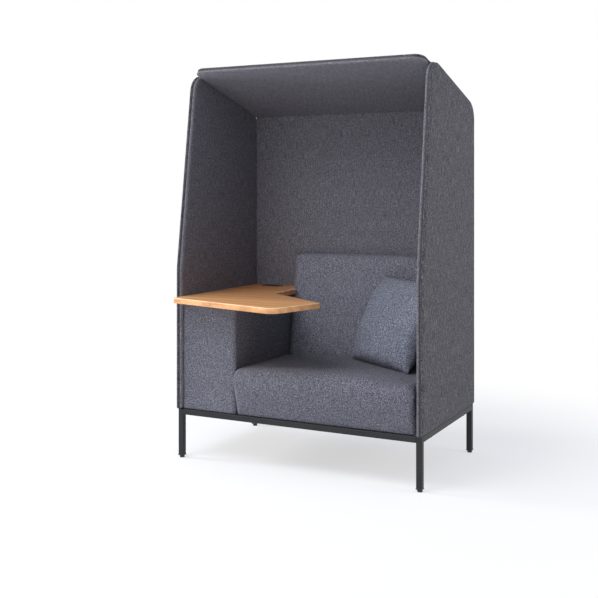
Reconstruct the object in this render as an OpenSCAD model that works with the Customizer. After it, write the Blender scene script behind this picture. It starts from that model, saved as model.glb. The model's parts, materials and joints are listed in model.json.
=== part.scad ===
// Single-seat sofa booth: an upholstered shell with a roof on a square-tube frame, a wide seat with
// a leaning backrest, a side box that carries a wooden tabletop with a lidded outlet, and a loose pillow.
// Millimetres. X runs to the sitter's left as seen from the front, Y to the rear, Z up, floor at zero.

/* [Shell] */
// Overall width over the two side panels
booth_w = 1160; // [1060:1:1300]
// Depth of the side panels from front edge to rear edge
booth_d = 704; // [660:1:780]
// Thickness of every upholstered panel
panel_t = 30; // [26:1:36]
// Thickness of the board inside every upholstered panel
core_t = 12; // [9:1:15]
// Height where the front edge of a side panel starts to slope back
bend_z = 845; // [780:1:900]
// How far the front edge has sloped back at the top front corner
front_setback = 121; // [90:1:150]
// Height of the side panel's sharp top front corner before rounding
side_front_z = 1738; // [1700:1:1800]
// Rounding of the side panel's top front corner
side_front_r = 82; // [50:1:95]
// Rounding of the side panel's top rear corner
side_rear_r = 95; // [60:1:110]
// Rounding where the front edge bends
side_bend_r = 350; // [200:10:500]
// Rounding of the side panels' bottom corners
bottom_r = 6; // [4:1:24]

/* [Roof] */
// Slope of the roof and of the side panels' tops, falling to the rear
roof_tilt = 15.2; // [13:0.1:17]
// How far the roof's front edge lies behind the front edge of the side panels' base
roof_setback = 94; // [80:1:110]
// Height of the middle of the roof's front edge
roof_front_z = 1732.5; // [1720:0.5:1740]
// Rounding of the roof's front corners seen from above
roof_corner_r = 46; // [25:1:60]
// How far the roof's rear edge stops short of the back panel's outer face
roof_rear_gap = 19; // [12:1:22]

/* [Frame] */
// Outside size of the square tube
tube = 25; // [22:1:30]
// Wall of the square tube
tube_wall = 1.5; // [1.2:0.1:2]
// Outside rounding of the square tube
tube_r = 3; // [2:0.5:4]
// Height of the rails' top face
rail_z = 218; // [200:1:240]
// How far the legs stand in from the side panels' outer faces
frame_side_inset = 7.3; // [6:0.1:10]
// How far the legs stand in from the side panels' front and rear edges
frame_end_inset = 9.7; // [8:0.1:12]

/* [Feet] */
// Diameter of a foot
foot_d = 22; // [20:1:25]
// Height of a foot's disc
foot_h = 10; // [8:1:12]
// Nominal diameter of the foot's threaded stud
stud_d = 8; // [6:1:10]
// How far a foot screws out to level the booth
foot_travel = 10; // [6:1:12]

/* [Seat] */
// Height of the seat's top at its front, at its ends
seat_front_z = 418; // [400:1:440]
// Height of the seat's top at the backrest, at its ends
seat_rear_z = 414; // [395:1:430]
// Extra height of the crown in the middle of the seat
seat_crown = 12; // [6:1:18]
// How far the bottom of the seat's front stands behind the side panels' front edge
seat_setback = 21.5; // [12:0.5:40]
// How far the seat's front leans forward from its bottom edge to its top
seat_front_lean = 57; // [30:1:70]
// Rounding of the seat's front top edge
seat_nose_r = 45; // [30:1:55]
// Gap between the seat's end and the right side panel
seat_end_gap = 9; // [5:1:14]

/* [Backrest] */
// Height of the backrest's top
back_top_z = 882; // [840:1:920]
// Thickness of the backrest at the seat
back_foot_t = 170; // [150:1:180]
// Thickness of the backrest at its top
back_head_t = 100; // [85:1:115]
// Rounding of the backrest's edges
back_edge_r = 30; // [18:1:34]

/* [Side box and table] */
// Width of the side box
box_w = 267; // [240:1:290]
// How far the side box's front stands behind the side panel's front edge
box_setback = 18; // [8:1:24]
// Thickness of the padding on the side box
box_pad_t = 12; // [8:1:15]
// Height of the tabletop's upper face
table_z = 720; // [700:1:740]
// Thickness of the tabletop
table_t = 24; // [20:1:28]
// How far the tabletop's left front corner pokes out past the side panels
table_poke = 68; // [50:1:80]
// How far the tabletop's front runs forward from its left corner to its right corner
table_run = 158; // [140:1:170]
// Overall width of the tabletop
table_w = 662; // [640:1:680]
// Rounding of the tabletop's front right corner
table_corner_r = 45; // [30:1:60]
// How far the tabletop reaches past the side box in front of the backrest
table_lap = 34; // [20:1:40]

/* [Outlet] */
// Width of the outlet's trim frame
outlet_w = 96; // [92:1:106]
// Depth of the outlet's trim frame
outlet_d = 62; // [58:1:68]
// Distance from the outlet's middle to the back panel
outlet_back = 54; // [50:1:70]
// Distance from the outlet's middle to the left side panel
outlet_side = 122; // [100:1:140]
// Depth of the outlet's housing below the tabletop's upper face
outlet_h = 62; // [55:1:70]

/* [Pillow] */
// Width of the square pillow between its corners
pillow_w = 412; // [380:1:430]
// Greatest thickness of the pillow
pillow_t = 128; // [90:1:150]
// How far the pillow is turned towards the middle of the booth
pillow_turn = 31; // [26:1:36]
// How far the pillow leans back
pillow_lean = 26; // [20:1:30]

/* [Hidden] */

// Clearances and shared small sizes
seat_gap = 0.3;
skin_gap = 0.5;
cut = 1;
corner_steps = 6;
end_steps = 5;
run_steps = 10;

// Shell lines
x_out = booth_w / 2;
x_in = x_out - panel_t;
x_mid = x_out - panel_t / 2;
y_front = -booth_d / 2;
y_rear = booth_d / 2;
half_t = panel_t / 2;
seam_gap = 0.5;
seam_depth = 1.4;
seam_lip = 2.2;
core_inset = 5;
core_foot = 24;
least_corner = 0.5;
side_rear_z = side_front_z - (booth_d - front_setback) * tan(roof_tilt);
panel_foot_z = rail_z + seat_gap;
side_corners = [
    [y_front, panel_foot_z, bottom_r],
    [y_rear, panel_foot_z, bottom_r],
    [y_rear, side_rear_z, side_rear_r],
    [y_front + front_setback, side_front_z, side_front_r],
    [y_front, bend_z, side_bend_r]];

// Roof lines: the middle plane starts at the front edge and falls to the rear
roof_front_y = y_front + roof_setback;
roof_rear_y = y_rear - roof_rear_gap;
roof_len = (roof_rear_y - roof_front_y) / cos(roof_tilt);
roof_half_w = x_in - skin_gap;
shell_corner_r = 3;
roof_corners = [
    [-roof_half_w, 0, roof_corner_r],
    [roof_half_w, 0, roof_corner_r],
    [roof_half_w, roof_len, shell_corner_r],
    [-roof_half_w, roof_len, shell_corner_r]];
function roof_mid_z(y) = roof_front_z - (y - roof_front_y) * tan(roof_tilt);

// Back panel lines, seen from the front. Its rounded top edge nestles under the roof's rounded rear edge,
// and the gap leaves room for the lips beside both seams
back_mid_y = y_rear - half_t;
back_face_y = y_rear - panel_t;
roof_end_y = roof_front_y + (roof_len - half_t) * cos(roof_tilt);
edge_run = back_mid_y - roof_end_y;
edge_gap = 1.6;
back_panel_top = roof_mid_z(roof_end_y) + half_t - sqrt(pow(panel_t + edge_gap, 2) - pow(edge_run, 2));
back_corners = [
    [-roof_half_w, panel_foot_z, shell_corner_r],
    [roof_half_w, panel_foot_z, shell_corner_r],
    [roof_half_w, back_panel_top, shell_corner_r],
    [-roof_half_w, back_panel_top, shell_corner_r]];

// Frame lines
leg_x = x_out - frame_side_inset - tube / 2;
leg_y = booth_d / 2 - frame_end_inset - tube / 2;
plug_head = 26.5;
plug_head_h = 4;
plug_h = 20;
leg_foot_z = foot_h + seat_gap + plug_head_h;
rail_mid_z = rail_z - tube / 2;
bar_x_shares = [-0.53, 0.22];
stud_clear = 0.06;
stud_len = foot_travel + plug_h;

// Panel bolts and dowels
bolt_d = 6;
bolt_head_d = 11;
bolt_head_h = 4;
bolt_grip = 40;
bolt_clear = 0.05;
bolt_y_share = 0.6;
bolt_x_shares = [-0.6, 0, 0.6];
dowel_d = 8;
dowel_len = 46;
dowel_sink = 8;
dowel_clear = 0.05;
roof_dowel_shares = [0.2, 0.5, 0.8];
back_dowel_shares = [0.15, 0.5, 0.85];

// Seat lines
box_x = -x_in + box_w;
seat_x0 = box_x + 2 * skin_gap;
seat_x1 = x_in - seat_end_gap;
seat_mid_x = (seat_x0 + seat_x1) / 2;
seat_half_w = (seat_x1 - seat_x0) / 2;
back_foot_y = back_face_y - back_foot_t;
back_head_y = back_face_y - back_head_t;
seat_back_y = back_foot_y - skin_gap;
seat_front_y = y_front + seat_setback;
seat_d = seat_back_y - seat_front_y;
seat_front_slope = seat_front_lean / (seat_front_z - panel_foot_z);
seat_end_r = 16;
seat_nose_top_share = 0.3;
board_t = 18;
deck_t = 12;
seat_pad_t = 18;
seat_foam_t = 34;
deck_z = seat_rear_z - seat_foam_t;
seat_corners = [
    [seat_front_y + seat_front_slope * seat_end_r, panel_foot_z - seat_end_r, bottom_r],
    [seat_back_y, panel_foot_z - seat_end_r, bottom_r],
    [seat_back_y, seat_rear_z, bottom_r],
    [seat_front_y + seat_d * seat_nose_top_share, seat_front_z, 4 * seat_nose_r],
    [seat_front_y - seat_front_lean, seat_front_z, seat_nose_r]];
pocket_x0 = seat_x0 + seat_pad_t;
pocket_x1 = seat_x1 - seat_pad_t;
pocket_y0 = seat_front_y + seat_pad_t;
pocket_y1 = seat_back_y - seat_pad_t;

// Backrest lines, seen from the side
back_x0 = seat_x0;
back_x1 = seat_x1;
back_mid_x = seat_mid_x;
back_half_w = seat_half_w;
back_lean = (back_head_y - back_foot_y) / (back_top_z - seat_rear_z);
back_crown = 5;
back_foam_t = 30;
back_side_t = 20;
backrest_corners = [
    [back_foot_y, panel_foot_z - back_edge_r, bottom_r],
    [back_face_y - seat_gap, panel_foot_z - back_edge_r, bottom_r],
    [back_face_y - seat_gap, back_top_z, back_edge_r / 2],
    [back_head_y, back_top_z, back_edge_r],
    [back_foot_y, seat_rear_z, 3 * side_front_r]];
back_pocket_top = back_top_z - back_foam_t;

// Side box lines
box_y0 = y_front + box_setback;
box_y1 = back_face_y - seat_gap;
box_x0 = -x_in + skin_gap;
box_top_z = table_z - table_t - seat_gap;
box_corner_r = 16;
box_in_x = box_x - box_pad_t;
box_in_y = box_y0 + box_pad_t;

// Tabletop lines, seen from above
table_x0 = -x_in + skin_gap;
table_tip_x = table_x0 + table_w;
table_left_y = y_front - table_poke;
table_right_y = table_left_y - table_run;
table_corner_x_share = 0.878;
table_corner_x = table_x0 + table_w * table_corner_x_share;
table_tip_y = y_front + table_w * 0.071;
table_notch_x = box_x + table_lap;
table_notch_y = y_front + booth_d * 0.44;
table_back_gap = 10;
table_step_y = back_foot_y + back_lean * (table_z - table_t - seat_rear_z) - table_back_gap;
table_ease = 1.5;
table_left_r = 16;
table_tip_r = 12;
table_notch_r = 10;
table_corners = [
    [table_x0, table_left_y, table_left_r],
    [table_corner_x, table_right_y, table_corner_r],
    [table_tip_x, table_tip_y, table_tip_r],
    [table_notch_x, table_notch_y, table_notch_r],
    [table_notch_x, table_step_y, table_notch_r],
    [box_x - skin_gap, table_step_y, table_notch_r / 2],
    [box_x - skin_gap, back_face_y - skin_gap, table_notch_r / 2],
    [table_x0, back_face_y - skin_gap, table_notch_r / 2]];
table_arc = arc_centre(table_corners, 1, 0);
table_front_y = table_arc[1] - table_corner_r;
screw_d = 5;
screw_head_d = 10;
screw_head_h = 3;
screw_len = 28;
screw_inset = 34;

// Outlet lines
outlet_x = -x_in + outlet_side;
outlet_y = back_face_y - outlet_back;
trim_t = 2;
trim_lap = 5;
trim_r = 6;
housing_wall = 2;
housing_w = outlet_w - 2 * trim_lap;
housing_d = outlet_d - 2 * trim_lap;
well_w = housing_w - 2 * housing_wall;
well_d = housing_d - 2 * housing_wall;
hole_gap = 0.4;
lid_gap = 0.4;
lid_t = 2.6;
lid_w = well_w - 2 * lid_gap;
lid_d = well_d - 2 * lid_gap;
pin_d = 2.4;
pin_clear = 0.05;
knuckle_d = 4.8;
pin_y = outlet_y + lid_d / 2 - knuckle_d / 2;
pin_z = table_z + trim_t - knuckle_d / 2;
knuckle_w = lid_w * 0.7;
ear_w = 8;
ear_clear = 1.6;
lug_w = 6;
lug_d = 4;
lug_h = 3;
notch_w = 12;
notch_d = 8;
notch_side = 9;
socket_t = 18;
socket_drop = 26;
socket_pitch = 44;
slot_pitch = 12.7;
slot_w = 2.4;
slot_len = 8;
contact_t = 1;
contact_len = 14;
gland_d = 16;
gland_flange_d = 22;
gland_flange_t = 3;
gland_len = 14;
gland_bore_d = 7;

// Pillow place: its right corner is next to the side panel and its upper left corner leans on the backrest
pillow_gap = 4.5;
pillow_rise = 2.5;
pillow_roll = -1.2;
pillow_half = pillow_w / 2;
pillow_z = seat_rear_z + seat_crown + pillow_rise + pillow_half * cos(pillow_lean);
pillow_x = x_in - pillow_gap - pillow_half * (cos(pillow_turn) + sin(pillow_turn) * sin(pillow_lean));
pillow_top_z = pillow_z + pillow_half * cos(pillow_lean);
pillow_y = back_foot_y + back_lean * (pillow_top_z - seat_rear_z) - 2 * pillow_gap
    - pillow_half * (sin(pillow_turn) + cos(pillow_turn) * sin(pillow_lean));
pillow_steps = 48;
pillow_level_shares = [0.14, 0.34, 0.54, 0.7, 0.83, 0.92, 0.975, 1];
pillow_draw_share = 0.075;
pillow_seam_share = 0.018;

// The tabletop reaches further forward than the shell reaches back, so the booth is moved to stand
// with the middle of its whole extent over the origin
frame_shift_y = -(y_rear + table_front_y) / 2;

panel_color = [0.36, 0.36, 0.4];
frame_color = [0.16, 0.16, 0.17];
wood_color = [0.78, 0.6, 0.4];
ply_color = [0.8, 0.7, 0.52];
black_color = [0.08, 0.08, 0.08];

// Outlines with rounded corners: each corner is [x, y, radius], counter-clockwise
function unit(v) = v / norm(v);
function edge_dir(c, i) = unit([for (k = [0:1]) c[(i + 1) % len(c)][k] - c[i][k]]);
function edge_normal(c, i) = [edge_dir(c, i)[1], -edge_dir(c, i)[0]];
function corner_normals(c, i) = [edge_normal(c, (i + len(c) - 1) % len(c)), edge_normal(c, i)];
function turn(n) = atan2(n[0][0] * n[1][1] - n[0][1] * n[1][0], n[0] * n[1]);
function arc_radius(c, i, inset) =
    turn(corner_normals(c, i)) > 0 ? max(c[i][2], inset + least_corner) : c[i][2];
function arc_centre(c, i, inset) =
    let (n = corner_normals(c, i), s = sign(turn(n)))
    [c[i][0], c[i][1]] - s * arc_radius(c, i, inset) * (n[0] + n[1]) / (1 + n[0] * n[1]);
function corner_points(c, i, inset) =
    let (n = corner_normals(c, i), s = sign(turn(n)), a = atan2(n[0][1], n[0][0]))
    [for (k = [0:corner_steps])
        let (b = a + turn(n) * k / corner_steps)
        arc_centre(c, i, inset) + (s * arc_radius(c, i, inset) - inset) * [cos(b), sin(b)]];
function outline(c, inset = 0) = [for (i = [0:len(c) - 1]) each corner_points(c, i, inset)];

// A closed skin through rings of equal length, with both ends capped
module skin(rings) {
    n = len(rings[0]);
    last = len(rings) - 1;
    points = [for (ring = rings) each ring];
    walls = [for (i = [0:last - 1]) for (j = [0:n - 1])
        each let (a = i * n + j, b = i * n + (j + 1) % n) [[a, a + n, b], [b, a + n, b + n]]];
    caps = [[for (j = [0:n - 1]) j], [for (j = [n - 1:-1:0]) last * n + j]];
    polyhedron(points, concat(walls, caps), convexity = 6);
}

function lift(ring, z) = [for (p = ring) [p[0], p[1], z]];

// Stacked outlines: each step is [inset, height]
module loft(c, steps) {
    skin([for (s = steps) lift(outline(c, s[0]), s[1])]);
}

// Half of an upholstered panel: its rounded edge runs from the seam to the face
module pad(c) {
    edge_r = half_t;
    steps = concat([[seam_depth, seam_gap / 2]],
        [for (k = [0:corner_steps]) let (a = 90 * k / corner_steps)
            [edge_r * (1 - cos(a)), seam_lip + (half_t - seam_lip) * sin(a)]]);
    loft(c, steps);
}

module core_outline(c, foot) {
    polygon(outline(c, core_inset));
    if (foot > 0)
        intersection() {
            polygon(outline(c, 0));
            translate([c[0][0] + core_inset, c[0][1]])
                square([c[1][0] - c[0][0] - 2 * core_inset, foot]);
        }
}

module core(c, foot = 0) {
    translate([0, 0, -core_t / 2])
        linear_extrude(core_t)
            core_outline(c, foot);
}

// One pad with the pocket that holds its half of the core
module padded_half(c, foot = 0) {
    difference() {
        pad(c);
        translate([0, 0, -cut])
            linear_extrude(core_t / 2 + cut)
                core_outline(c, foot);
        if (foot > 0)
            translate([c[0][0] + core_inset, c[0][1] - cut, -cut])
                cube([c[1][0] - c[0][0] - 2 * core_inset, 2 * cut, core_t / 2 + cut]);
    }
}

// Places a flat panel's own X and Y on the booth's Y and Z, with its Z towards the right
module on_side(side) {
    translate([side * x_mid, 0, 0])
        rotate([90, 0, 90])
            children();
}

module on_back() {
    translate([0, back_mid_y, 0])
        rotate([90, 0, 0])
            children();
}

module on_roof() {
    translate([0, roof_front_y, roof_front_z])
        rotate([-roof_tilt, 0, 0])
            children();
}

module to_frame() {
    translate([0, frame_shift_y, 0])
        children();
}

// Square tube standing on the origin along Z
module square_tube(length) {
    outer = [for (s = [[-1, -1], [1, -1], [1, 1], [-1, 1]]) [s[0] * tube / 2, s[1] * tube / 2, tube_r]];
    bore = tube - 2 * tube_wall;
    linear_extrude(length)
        difference() {
            polygon(outline(outer));
            square(bore, center = true);
        }
}

// Tube between two legs, along X or along Y
module rail_x(x0, x1, y) {
    translate([x0, y, rail_mid_z])
        rotate([90, 0, 90])
            square_tube(x1 - x0);
}

module rail_y(x) {
    translate([x, leg_y - tube / 2, rail_mid_z])
        rotate([90, 0, 0])
            square_tube(2 * leg_y - tube);
}

// Bolts that hold the panels' boards down on the rails
module at_bolts() {
    for (s = [-1, 1]) {
        for (y = [-1, 1])
            translate([s * x_mid, y * booth_d / 2 * bolt_y_share, rail_z - tube])
                children();
    }
    for (k = bolt_x_shares)
        translate([k * x_in, back_mid_y, rail_z - tube])
            children();
}

module bolt_bores() {
    at_bolts()
        translate([0, 0, -cut])
            cylinder(h = tube + bolt_grip + cut + seat_gap, d = bolt_d + 2 * bolt_clear, $fn = 32);
}

// Dowels that tie the roof and the back panel to the side panels
module at_dowels() {
    for (s = [0, 1])
        mirror([s, 0, 0]) {
            for (k = roof_dowel_shares)
                let (y = roof_front_y + k * (roof_rear_y - roof_front_y))
                    translate([x_mid - core_t / 2 + dowel_sink - dowel_len, y, roof_mid_z(y)])
                        rotate([0, 90, 0])
                            children();
            for (k = back_dowel_shares)
                translate([x_mid - core_t / 2 + dowel_sink - dowel_len, back_mid_y,
                    rail_z + k * (back_panel_top - rail_z)])
                    rotate([0, 90, 0])
                        children();
        }
}

module dowel_bores() {
    at_dowels()
        cylinder(h = dowel_len, d = dowel_d + 2 * dowel_clear, $fn = 32);
}

module panel_dowels() {
    color(ply_color)
        at_dowels()
            cylinder(h = dowel_len, d = dowel_d, $fn = 32);
}

module panel_bolts() {
    color("silver")
        at_bolts() {
            translate([0, 0, -bolt_head_h])
                cylinder(h = bolt_head_h, d = bolt_head_d, $fn = 6);
            cylinder(h = tube + bolt_grip, d = bolt_d, $fn = 32);
        }
}

module leg(sx, sy) {
    color(frame_color)
        translate([sx * leg_x, sy * leg_y, leg_foot_z])
            square_tube(rail_z - leg_foot_z);
}

module rail_front() {
    color(frame_color)
        rail_x(-leg_x + tube / 2, leg_x - tube / 2, -leg_y);
}

module rail_rear() {
    color(frame_color)
        difference() {
            rail_x(-leg_x + tube / 2, leg_x - tube / 2, leg_y);
            bolt_bores();
        }
}

module rail_side(s) {
    color(frame_color)
        difference() {
            rail_y(s * leg_x);
            bolt_bores();
        }
}

module cross_bar(k) {
    color(frame_color)
        rail_y(k * x_in);
}

module at_legs() {
    for (sx = [-1, 1])
        for (sy = [-1, 1])
            translate([sx * leg_x, sy * leg_y, 0])
                children();
}

module leg_plugs() {
    plug = tube - 2 * tube_wall;
    color(black_color)
        at_legs()
            difference() {
                union() {
                    translate([-plug_head / 2, -plug_head / 2, leg_foot_z - plug_head_h])
                        cube([plug_head, plug_head, plug_head_h]);
                    translate([-plug / 2, -plug / 2, leg_foot_z])
                        cube([plug, plug, plug_h]);
                }
                translate([0, 0, leg_foot_z - plug_head_h - cut])
                    cylinder(h = plug_head_h + plug_h + 2 * cut, d = stud_d + 2 * stud_clear, $fn = 32);
            }
}

// Levelling foot: a disc with a rounded shoulder and its threaded stud
module foot(sx, sy) {
    shoulder = foot_h * 0.3;
    color(black_color)
        translate([sx * leg_x, sy * leg_y, 0])
            rotate_extrude($fn = 40)
                polygon([[0, 0], [foot_d / 2 - shoulder / 2, 0], [foot_d / 2, shoulder / 2],
                    [foot_d / 2, foot_h - shoulder], [foot_d / 2 - shoulder, foot_h],
                    [stud_d / 2, foot_h], [stud_d / 2, foot_h + stud_len], [0, foot_h + stud_len]]);
}

module seat_front_board() {
    color(ply_color)
        translate([pocket_x0, pocket_y0, panel_foot_z])
            cube([pocket_x1 - pocket_x0, board_t, deck_z - deck_t - panel_foot_z]);
}

module seat_rear_board() {
    color(ply_color)
        translate([pocket_x0, pocket_y1 - board_t, panel_foot_z])
            cube([pocket_x1 - pocket_x0, board_t, deck_z - deck_t - panel_foot_z]);
}

module seat_end_board(x) {
    color(ply_color)
        translate([x, pocket_y0 + board_t, panel_foot_z])
            cube([board_t, pocket_y1 - pocket_y0 - 2 * board_t, deck_z - deck_t - panel_foot_z]);
}

module seat_deck() {
    color(ply_color)
        translate([pocket_x0, pocket_y0, deck_z - deck_t])
            cube([pocket_x1 - pocket_x0, pocket_y1 - pocket_y0, deck_t]);
}

// Upholstered block: a side profile run along X. Each station is [place along X, inset of the profile]
function end_stations(half_w, r) =
    [for (k = [0:end_steps]) let (a = 90 * k / end_steps) [r - half_w - r * sin(a), r - r * cos(a)]];
function stations(half_w, r) =
    let (left = end_stations(half_w, r), run = 2 * (half_w - r))
    concat(
        [for (k = [end_steps:-1:0]) left[k]],
        [for (k = [1:run_steps - 1]) [r - half_w + run * k / run_steps, 0]],
        [for (k = [0:end_steps]) [-left[k][0], left[k][1]]]);

module upholstered(c, mid_x, half_w, end_r, crown, top_z) {
    skin([for (s = stations(half_w, end_r)) let (bow = crown * (1 - pow(s[0] / half_w, 2)))
        [for (p = outline(c, s[1]))
            let (share = max(0, (p[1] - panel_foot_z) / (top_z - panel_foot_z)))
            [mid_x + s[0], p[0], p[1] + bow * share * share]]]);
}

// Everything below the foot of the upholstery, to cut its underside flat
module below_foot() {
    translate([-x_out, -booth_d, panel_foot_z - booth_w])
        cube([booth_w, 2 * booth_d, booth_w]);
}

module seat_cushion() {
    color(panel_color)
        difference() {
            upholstered(seat_corners, seat_mid_x, seat_half_w, seat_end_r, seat_crown, seat_front_z);
            below_foot();
            translate([pocket_x0, pocket_y0, panel_foot_z - cut])
                cube([pocket_x1 - pocket_x0, pocket_y1 - pocket_y0, deck_z - panel_foot_z + cut]);
        }
}

// Side view of the space behind the backrest's foam, moved in by a depth measured along Y
function back_pocket(t) = [
    [back_foot_y + back_foam_t + t, panel_foot_z],
    [back_face_y - seat_gap, panel_foot_z],
    [back_face_y - seat_gap, back_pocket_top - t],
    [back_head_y + back_foam_t + t, back_pocket_top - t],
    [back_foot_y + back_foam_t + t, seat_rear_z]];

// The same outline run out past the rear and the bottom, to cut with
function open_pocket(t) = [for (p = back_pocket(t))
    [p[0] + (p[0] > back_face_y - cut ? cut : 0), p[1] - (p[1] < panel_foot_z + cut ? cut : 0)]];

module side_slice(x, t, points) {
    translate([x, 0, 0])
        rotate([90, 0, 90])
            linear_extrude(t)
                polygon(points);
}

module backrest_board() {
    color(ply_color)
        difference() {
            side_slice(back_x0 + back_side_t, back_x1 - back_x0 - 2 * back_side_t, back_pocket(0));
            side_slice(back_x0 + back_side_t - cut, back_x1 - back_x0 - 2 * back_side_t + 2 * cut,
                open_pocket(board_t));
        }
}

// Rib behind the bent board: k is -1 at the left end, 0 in the middle and 1 at the right end
module backrest_rib(k) {
    reach = back_half_w - back_side_t - board_t / 2;
    color(ply_color)
        side_slice(back_mid_x + k * reach - board_t / 2, board_t, back_pocket(board_t));
}

module backrest_cushion() {
    color(panel_color)
        difference() {
            upholstered(backrest_corners, back_mid_x, back_half_w, back_edge_r, back_crown, back_top_z);
            below_foot();
            side_slice(back_x0 + back_side_t, back_x1 - back_x0 - 2 * back_side_t, open_pocket(0));
        }
}

module box_front_board() {
    color(ply_color)
        translate([box_x0, box_in_y, panel_foot_z])
            cube([box_in_x - box_x0, board_t, box_top_z - board_t - panel_foot_z]);
}

module box_rear_board() {
    color(ply_color)
        translate([box_x0, box_y1 - board_t, panel_foot_z])
            cube([box_in_x - box_x0, board_t, box_top_z - board_t - panel_foot_z]);
}

module box_side_board(x) {
    color(ply_color)
        translate([x, box_in_y + board_t, panel_foot_z])
            cube([board_t, box_y1 - box_in_y - 2 * board_t, box_top_z - board_t - panel_foot_z]);
}

module housing_space(gap) {
    translate([outlet_x, outlet_y, table_z - outlet_h - cut])
        linear_extrude(outlet_h + 2 * cut)
            polygon(outline([for (s = [[-1, -1], [1, -1], [1, 1], [-1, 1]])
                [s[0] * (housing_w / 2 + gap), s[1] * (housing_d / 2 + gap), trim_r / 2]]));
}

module box_top_board() {
    color(ply_color)
        difference() {
            translate([box_x0, box_in_y, box_top_z - board_t])
                cube([box_in_x - box_x0, box_y1 - box_in_y, board_t]);
            housing_space(hole_gap);
            screw_bores();
        }
}

// Padding and fabric round the front and the right face of the side box
module side_box_cover() {
    outer = [[box_x0, box_y0, box_pad_t / 2], [box_x, box_y0, box_corner_r],
        [box_x, box_y1, box_pad_t / 2], [box_x0, box_y1, box_pad_t / 2]];
    color(panel_color)
        translate([0, 0, panel_foot_z])
            linear_extrude(box_top_z - panel_foot_z)
                difference() {
                    polygon(outline(outer));
                    translate([box_x0 - cut, box_in_y])
                        square([box_in_x - box_x0 + cut, box_y1 - box_in_y + cut]);
                }
}

module at_screws() {
    for (x = [box_x0 + screw_inset, box_in_x - screw_inset])
        for (y = [box_in_y + screw_inset, (box_in_y + box_y1) / 2 - screw_inset, outlet_y - outlet_d])
            translate([x, y, box_top_z - board_t])
                children();
}

module screw_bores() {
    at_screws()
        translate([0, 0, -cut])
            cylinder(h = screw_len + cut + seat_gap, d = screw_d, $fn = 24);
}

module table_screws() {
    color("silver")
        at_screws() {
            translate([0, 0, -screw_head_h])
                cylinder(h = screw_head_h, d = screw_head_d, $fn = 24);
            cylinder(h = screw_len, d = screw_d, $fn = 24);
        }
}

// Tabletop with its edge eased above and below
module tabletop() {
    color(wood_color)
        difference() {
            union() {
                translate([0, 0, table_z - table_t])
                    linear_extrude(table_t)
                        polygon(outline(table_corners, table_ease));
                translate([0, 0, table_z - table_t + table_ease])
                    linear_extrude(table_t - 2 * table_ease)
                        polygon(outline(table_corners));
            }
            housing_space(hole_gap);
            screw_bores();
        }
}

function plate(w, d, r) = [for (s = [[-1, -1], [1, -1], [1, 1], [-1, 1]]) [s[0] * w / 2, s[1] * d / 2, r]];

module outlet_housing() {
    color(black_color)
        difference() {
            translate([outlet_x, outlet_y, table_z - outlet_h])
                linear_extrude(outlet_h)
                    polygon(outline(plate(housing_w, housing_d, trim_r / 2)));
            translate([outlet_x, outlet_y, table_z - outlet_h + housing_wall])
                linear_extrude(outlet_h)
                    polygon(outline(plate(well_w, well_d, housing_wall)));
            translate([outlet_x, outlet_y, table_z - outlet_h - cut])
                cylinder(h = housing_wall + 2 * cut, d = gland_d + 2 * pin_clear, $fn = 32);
        }
    // Lugs that the closed lid's front corners come down to
    color(black_color)
        for (s = [-1, 1])
            translate([outlet_x + s * (housing_w / 2 - housing_wall - lug_w / 2) - lug_w / 2,
                outlet_y - housing_d / 2 + housing_wall / 2, table_z + trim_t - lid_t - seat_gap - lug_h])
                cube([lug_w, lug_d + housing_wall / 2, lug_h]);
}

// Trim frame on the tabletop, with the two ears that hold the lid's pin
module outlet_trim() {
    color(black_color)
        difference() {
            union() {
                translate([outlet_x, outlet_y, table_z])
                    linear_extrude(trim_t)
                        difference() {
                            polygon(outline(plate(outlet_w, outlet_d, trim_r)));
                            polygon(outline(plate(well_w, well_d, housing_wall)));
                        }
                for (s = [-1, 1])
                    translate([outlet_x + s * (knuckle_w + 2 * lid_gap + ear_w) / 2 - ear_w / 2,
                        pin_y, pin_z]) {
                        rotate([0, 90, 0])
                            cylinder(h = ear_w, d = knuckle_d, $fn = 32);
                        translate([0, 0, -knuckle_d / 2])
                            cube([ear_w, outlet_y + well_d / 2 - pin_y, knuckle_d]);
                    }
            }
            translate([outlet_x - well_w / 2, pin_y, pin_z])
                rotate([0, 90, 0])
                    cylinder(h = well_w, d = pin_d + 2 * pin_clear, $fn = 24);
        }
}

module outlet_lid() {
    lid_y0 = outlet_y - lid_d / 2;
    lid_y1 = pin_y - knuckle_d / 2 - ear_clear;
    color(black_color)
        difference() {
            union() {
                translate([outlet_x, 0, table_z + trim_t - lid_t])
                    linear_extrude(lid_t)
                        polygon(outline([[-lid_w / 2, lid_y0, housing_wall], [lid_w / 2, lid_y0, housing_wall],
                            [lid_w / 2, lid_y1, pin_clear], [-lid_w / 2, lid_y1, pin_clear]]));
                translate([outlet_x - knuckle_w / 2, lid_y1 - cut, table_z + trim_t - lid_t])
                    cube([knuckle_w, knuckle_d / 2 + ear_clear + cut, lid_t]);
                translate([outlet_x - knuckle_w / 2, pin_y, pin_z])
                    rotate([0, 90, 0])
                        cylinder(h = knuckle_w, d = knuckle_d, $fn = 32);
            }
            translate([outlet_x - knuckle_w / 2 - cut, pin_y, pin_z])
                rotate([0, 90, 0])
                    cylinder(h = knuckle_w + 2 * cut, d = pin_d + 2 * pin_clear, $fn = 24);
            translate([outlet_x + lid_w / 2 - notch_side - notch_w, lid_y0 - cut, table_z + trim_t - lid_t - cut])
                cube([notch_w, notch_d + cut, lid_t + 2 * cut]);
        }
}

module lid_pin() {
    reach = knuckle_w + 2 * ear_w;
    color("silver")
        translate([outlet_x - reach / 2, pin_y, pin_z])
            rotate([0, 90, 0])
                cylinder(h = reach, d = pin_d, $fn = 24);
}

socket_top_z = table_z - socket_drop;

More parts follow.
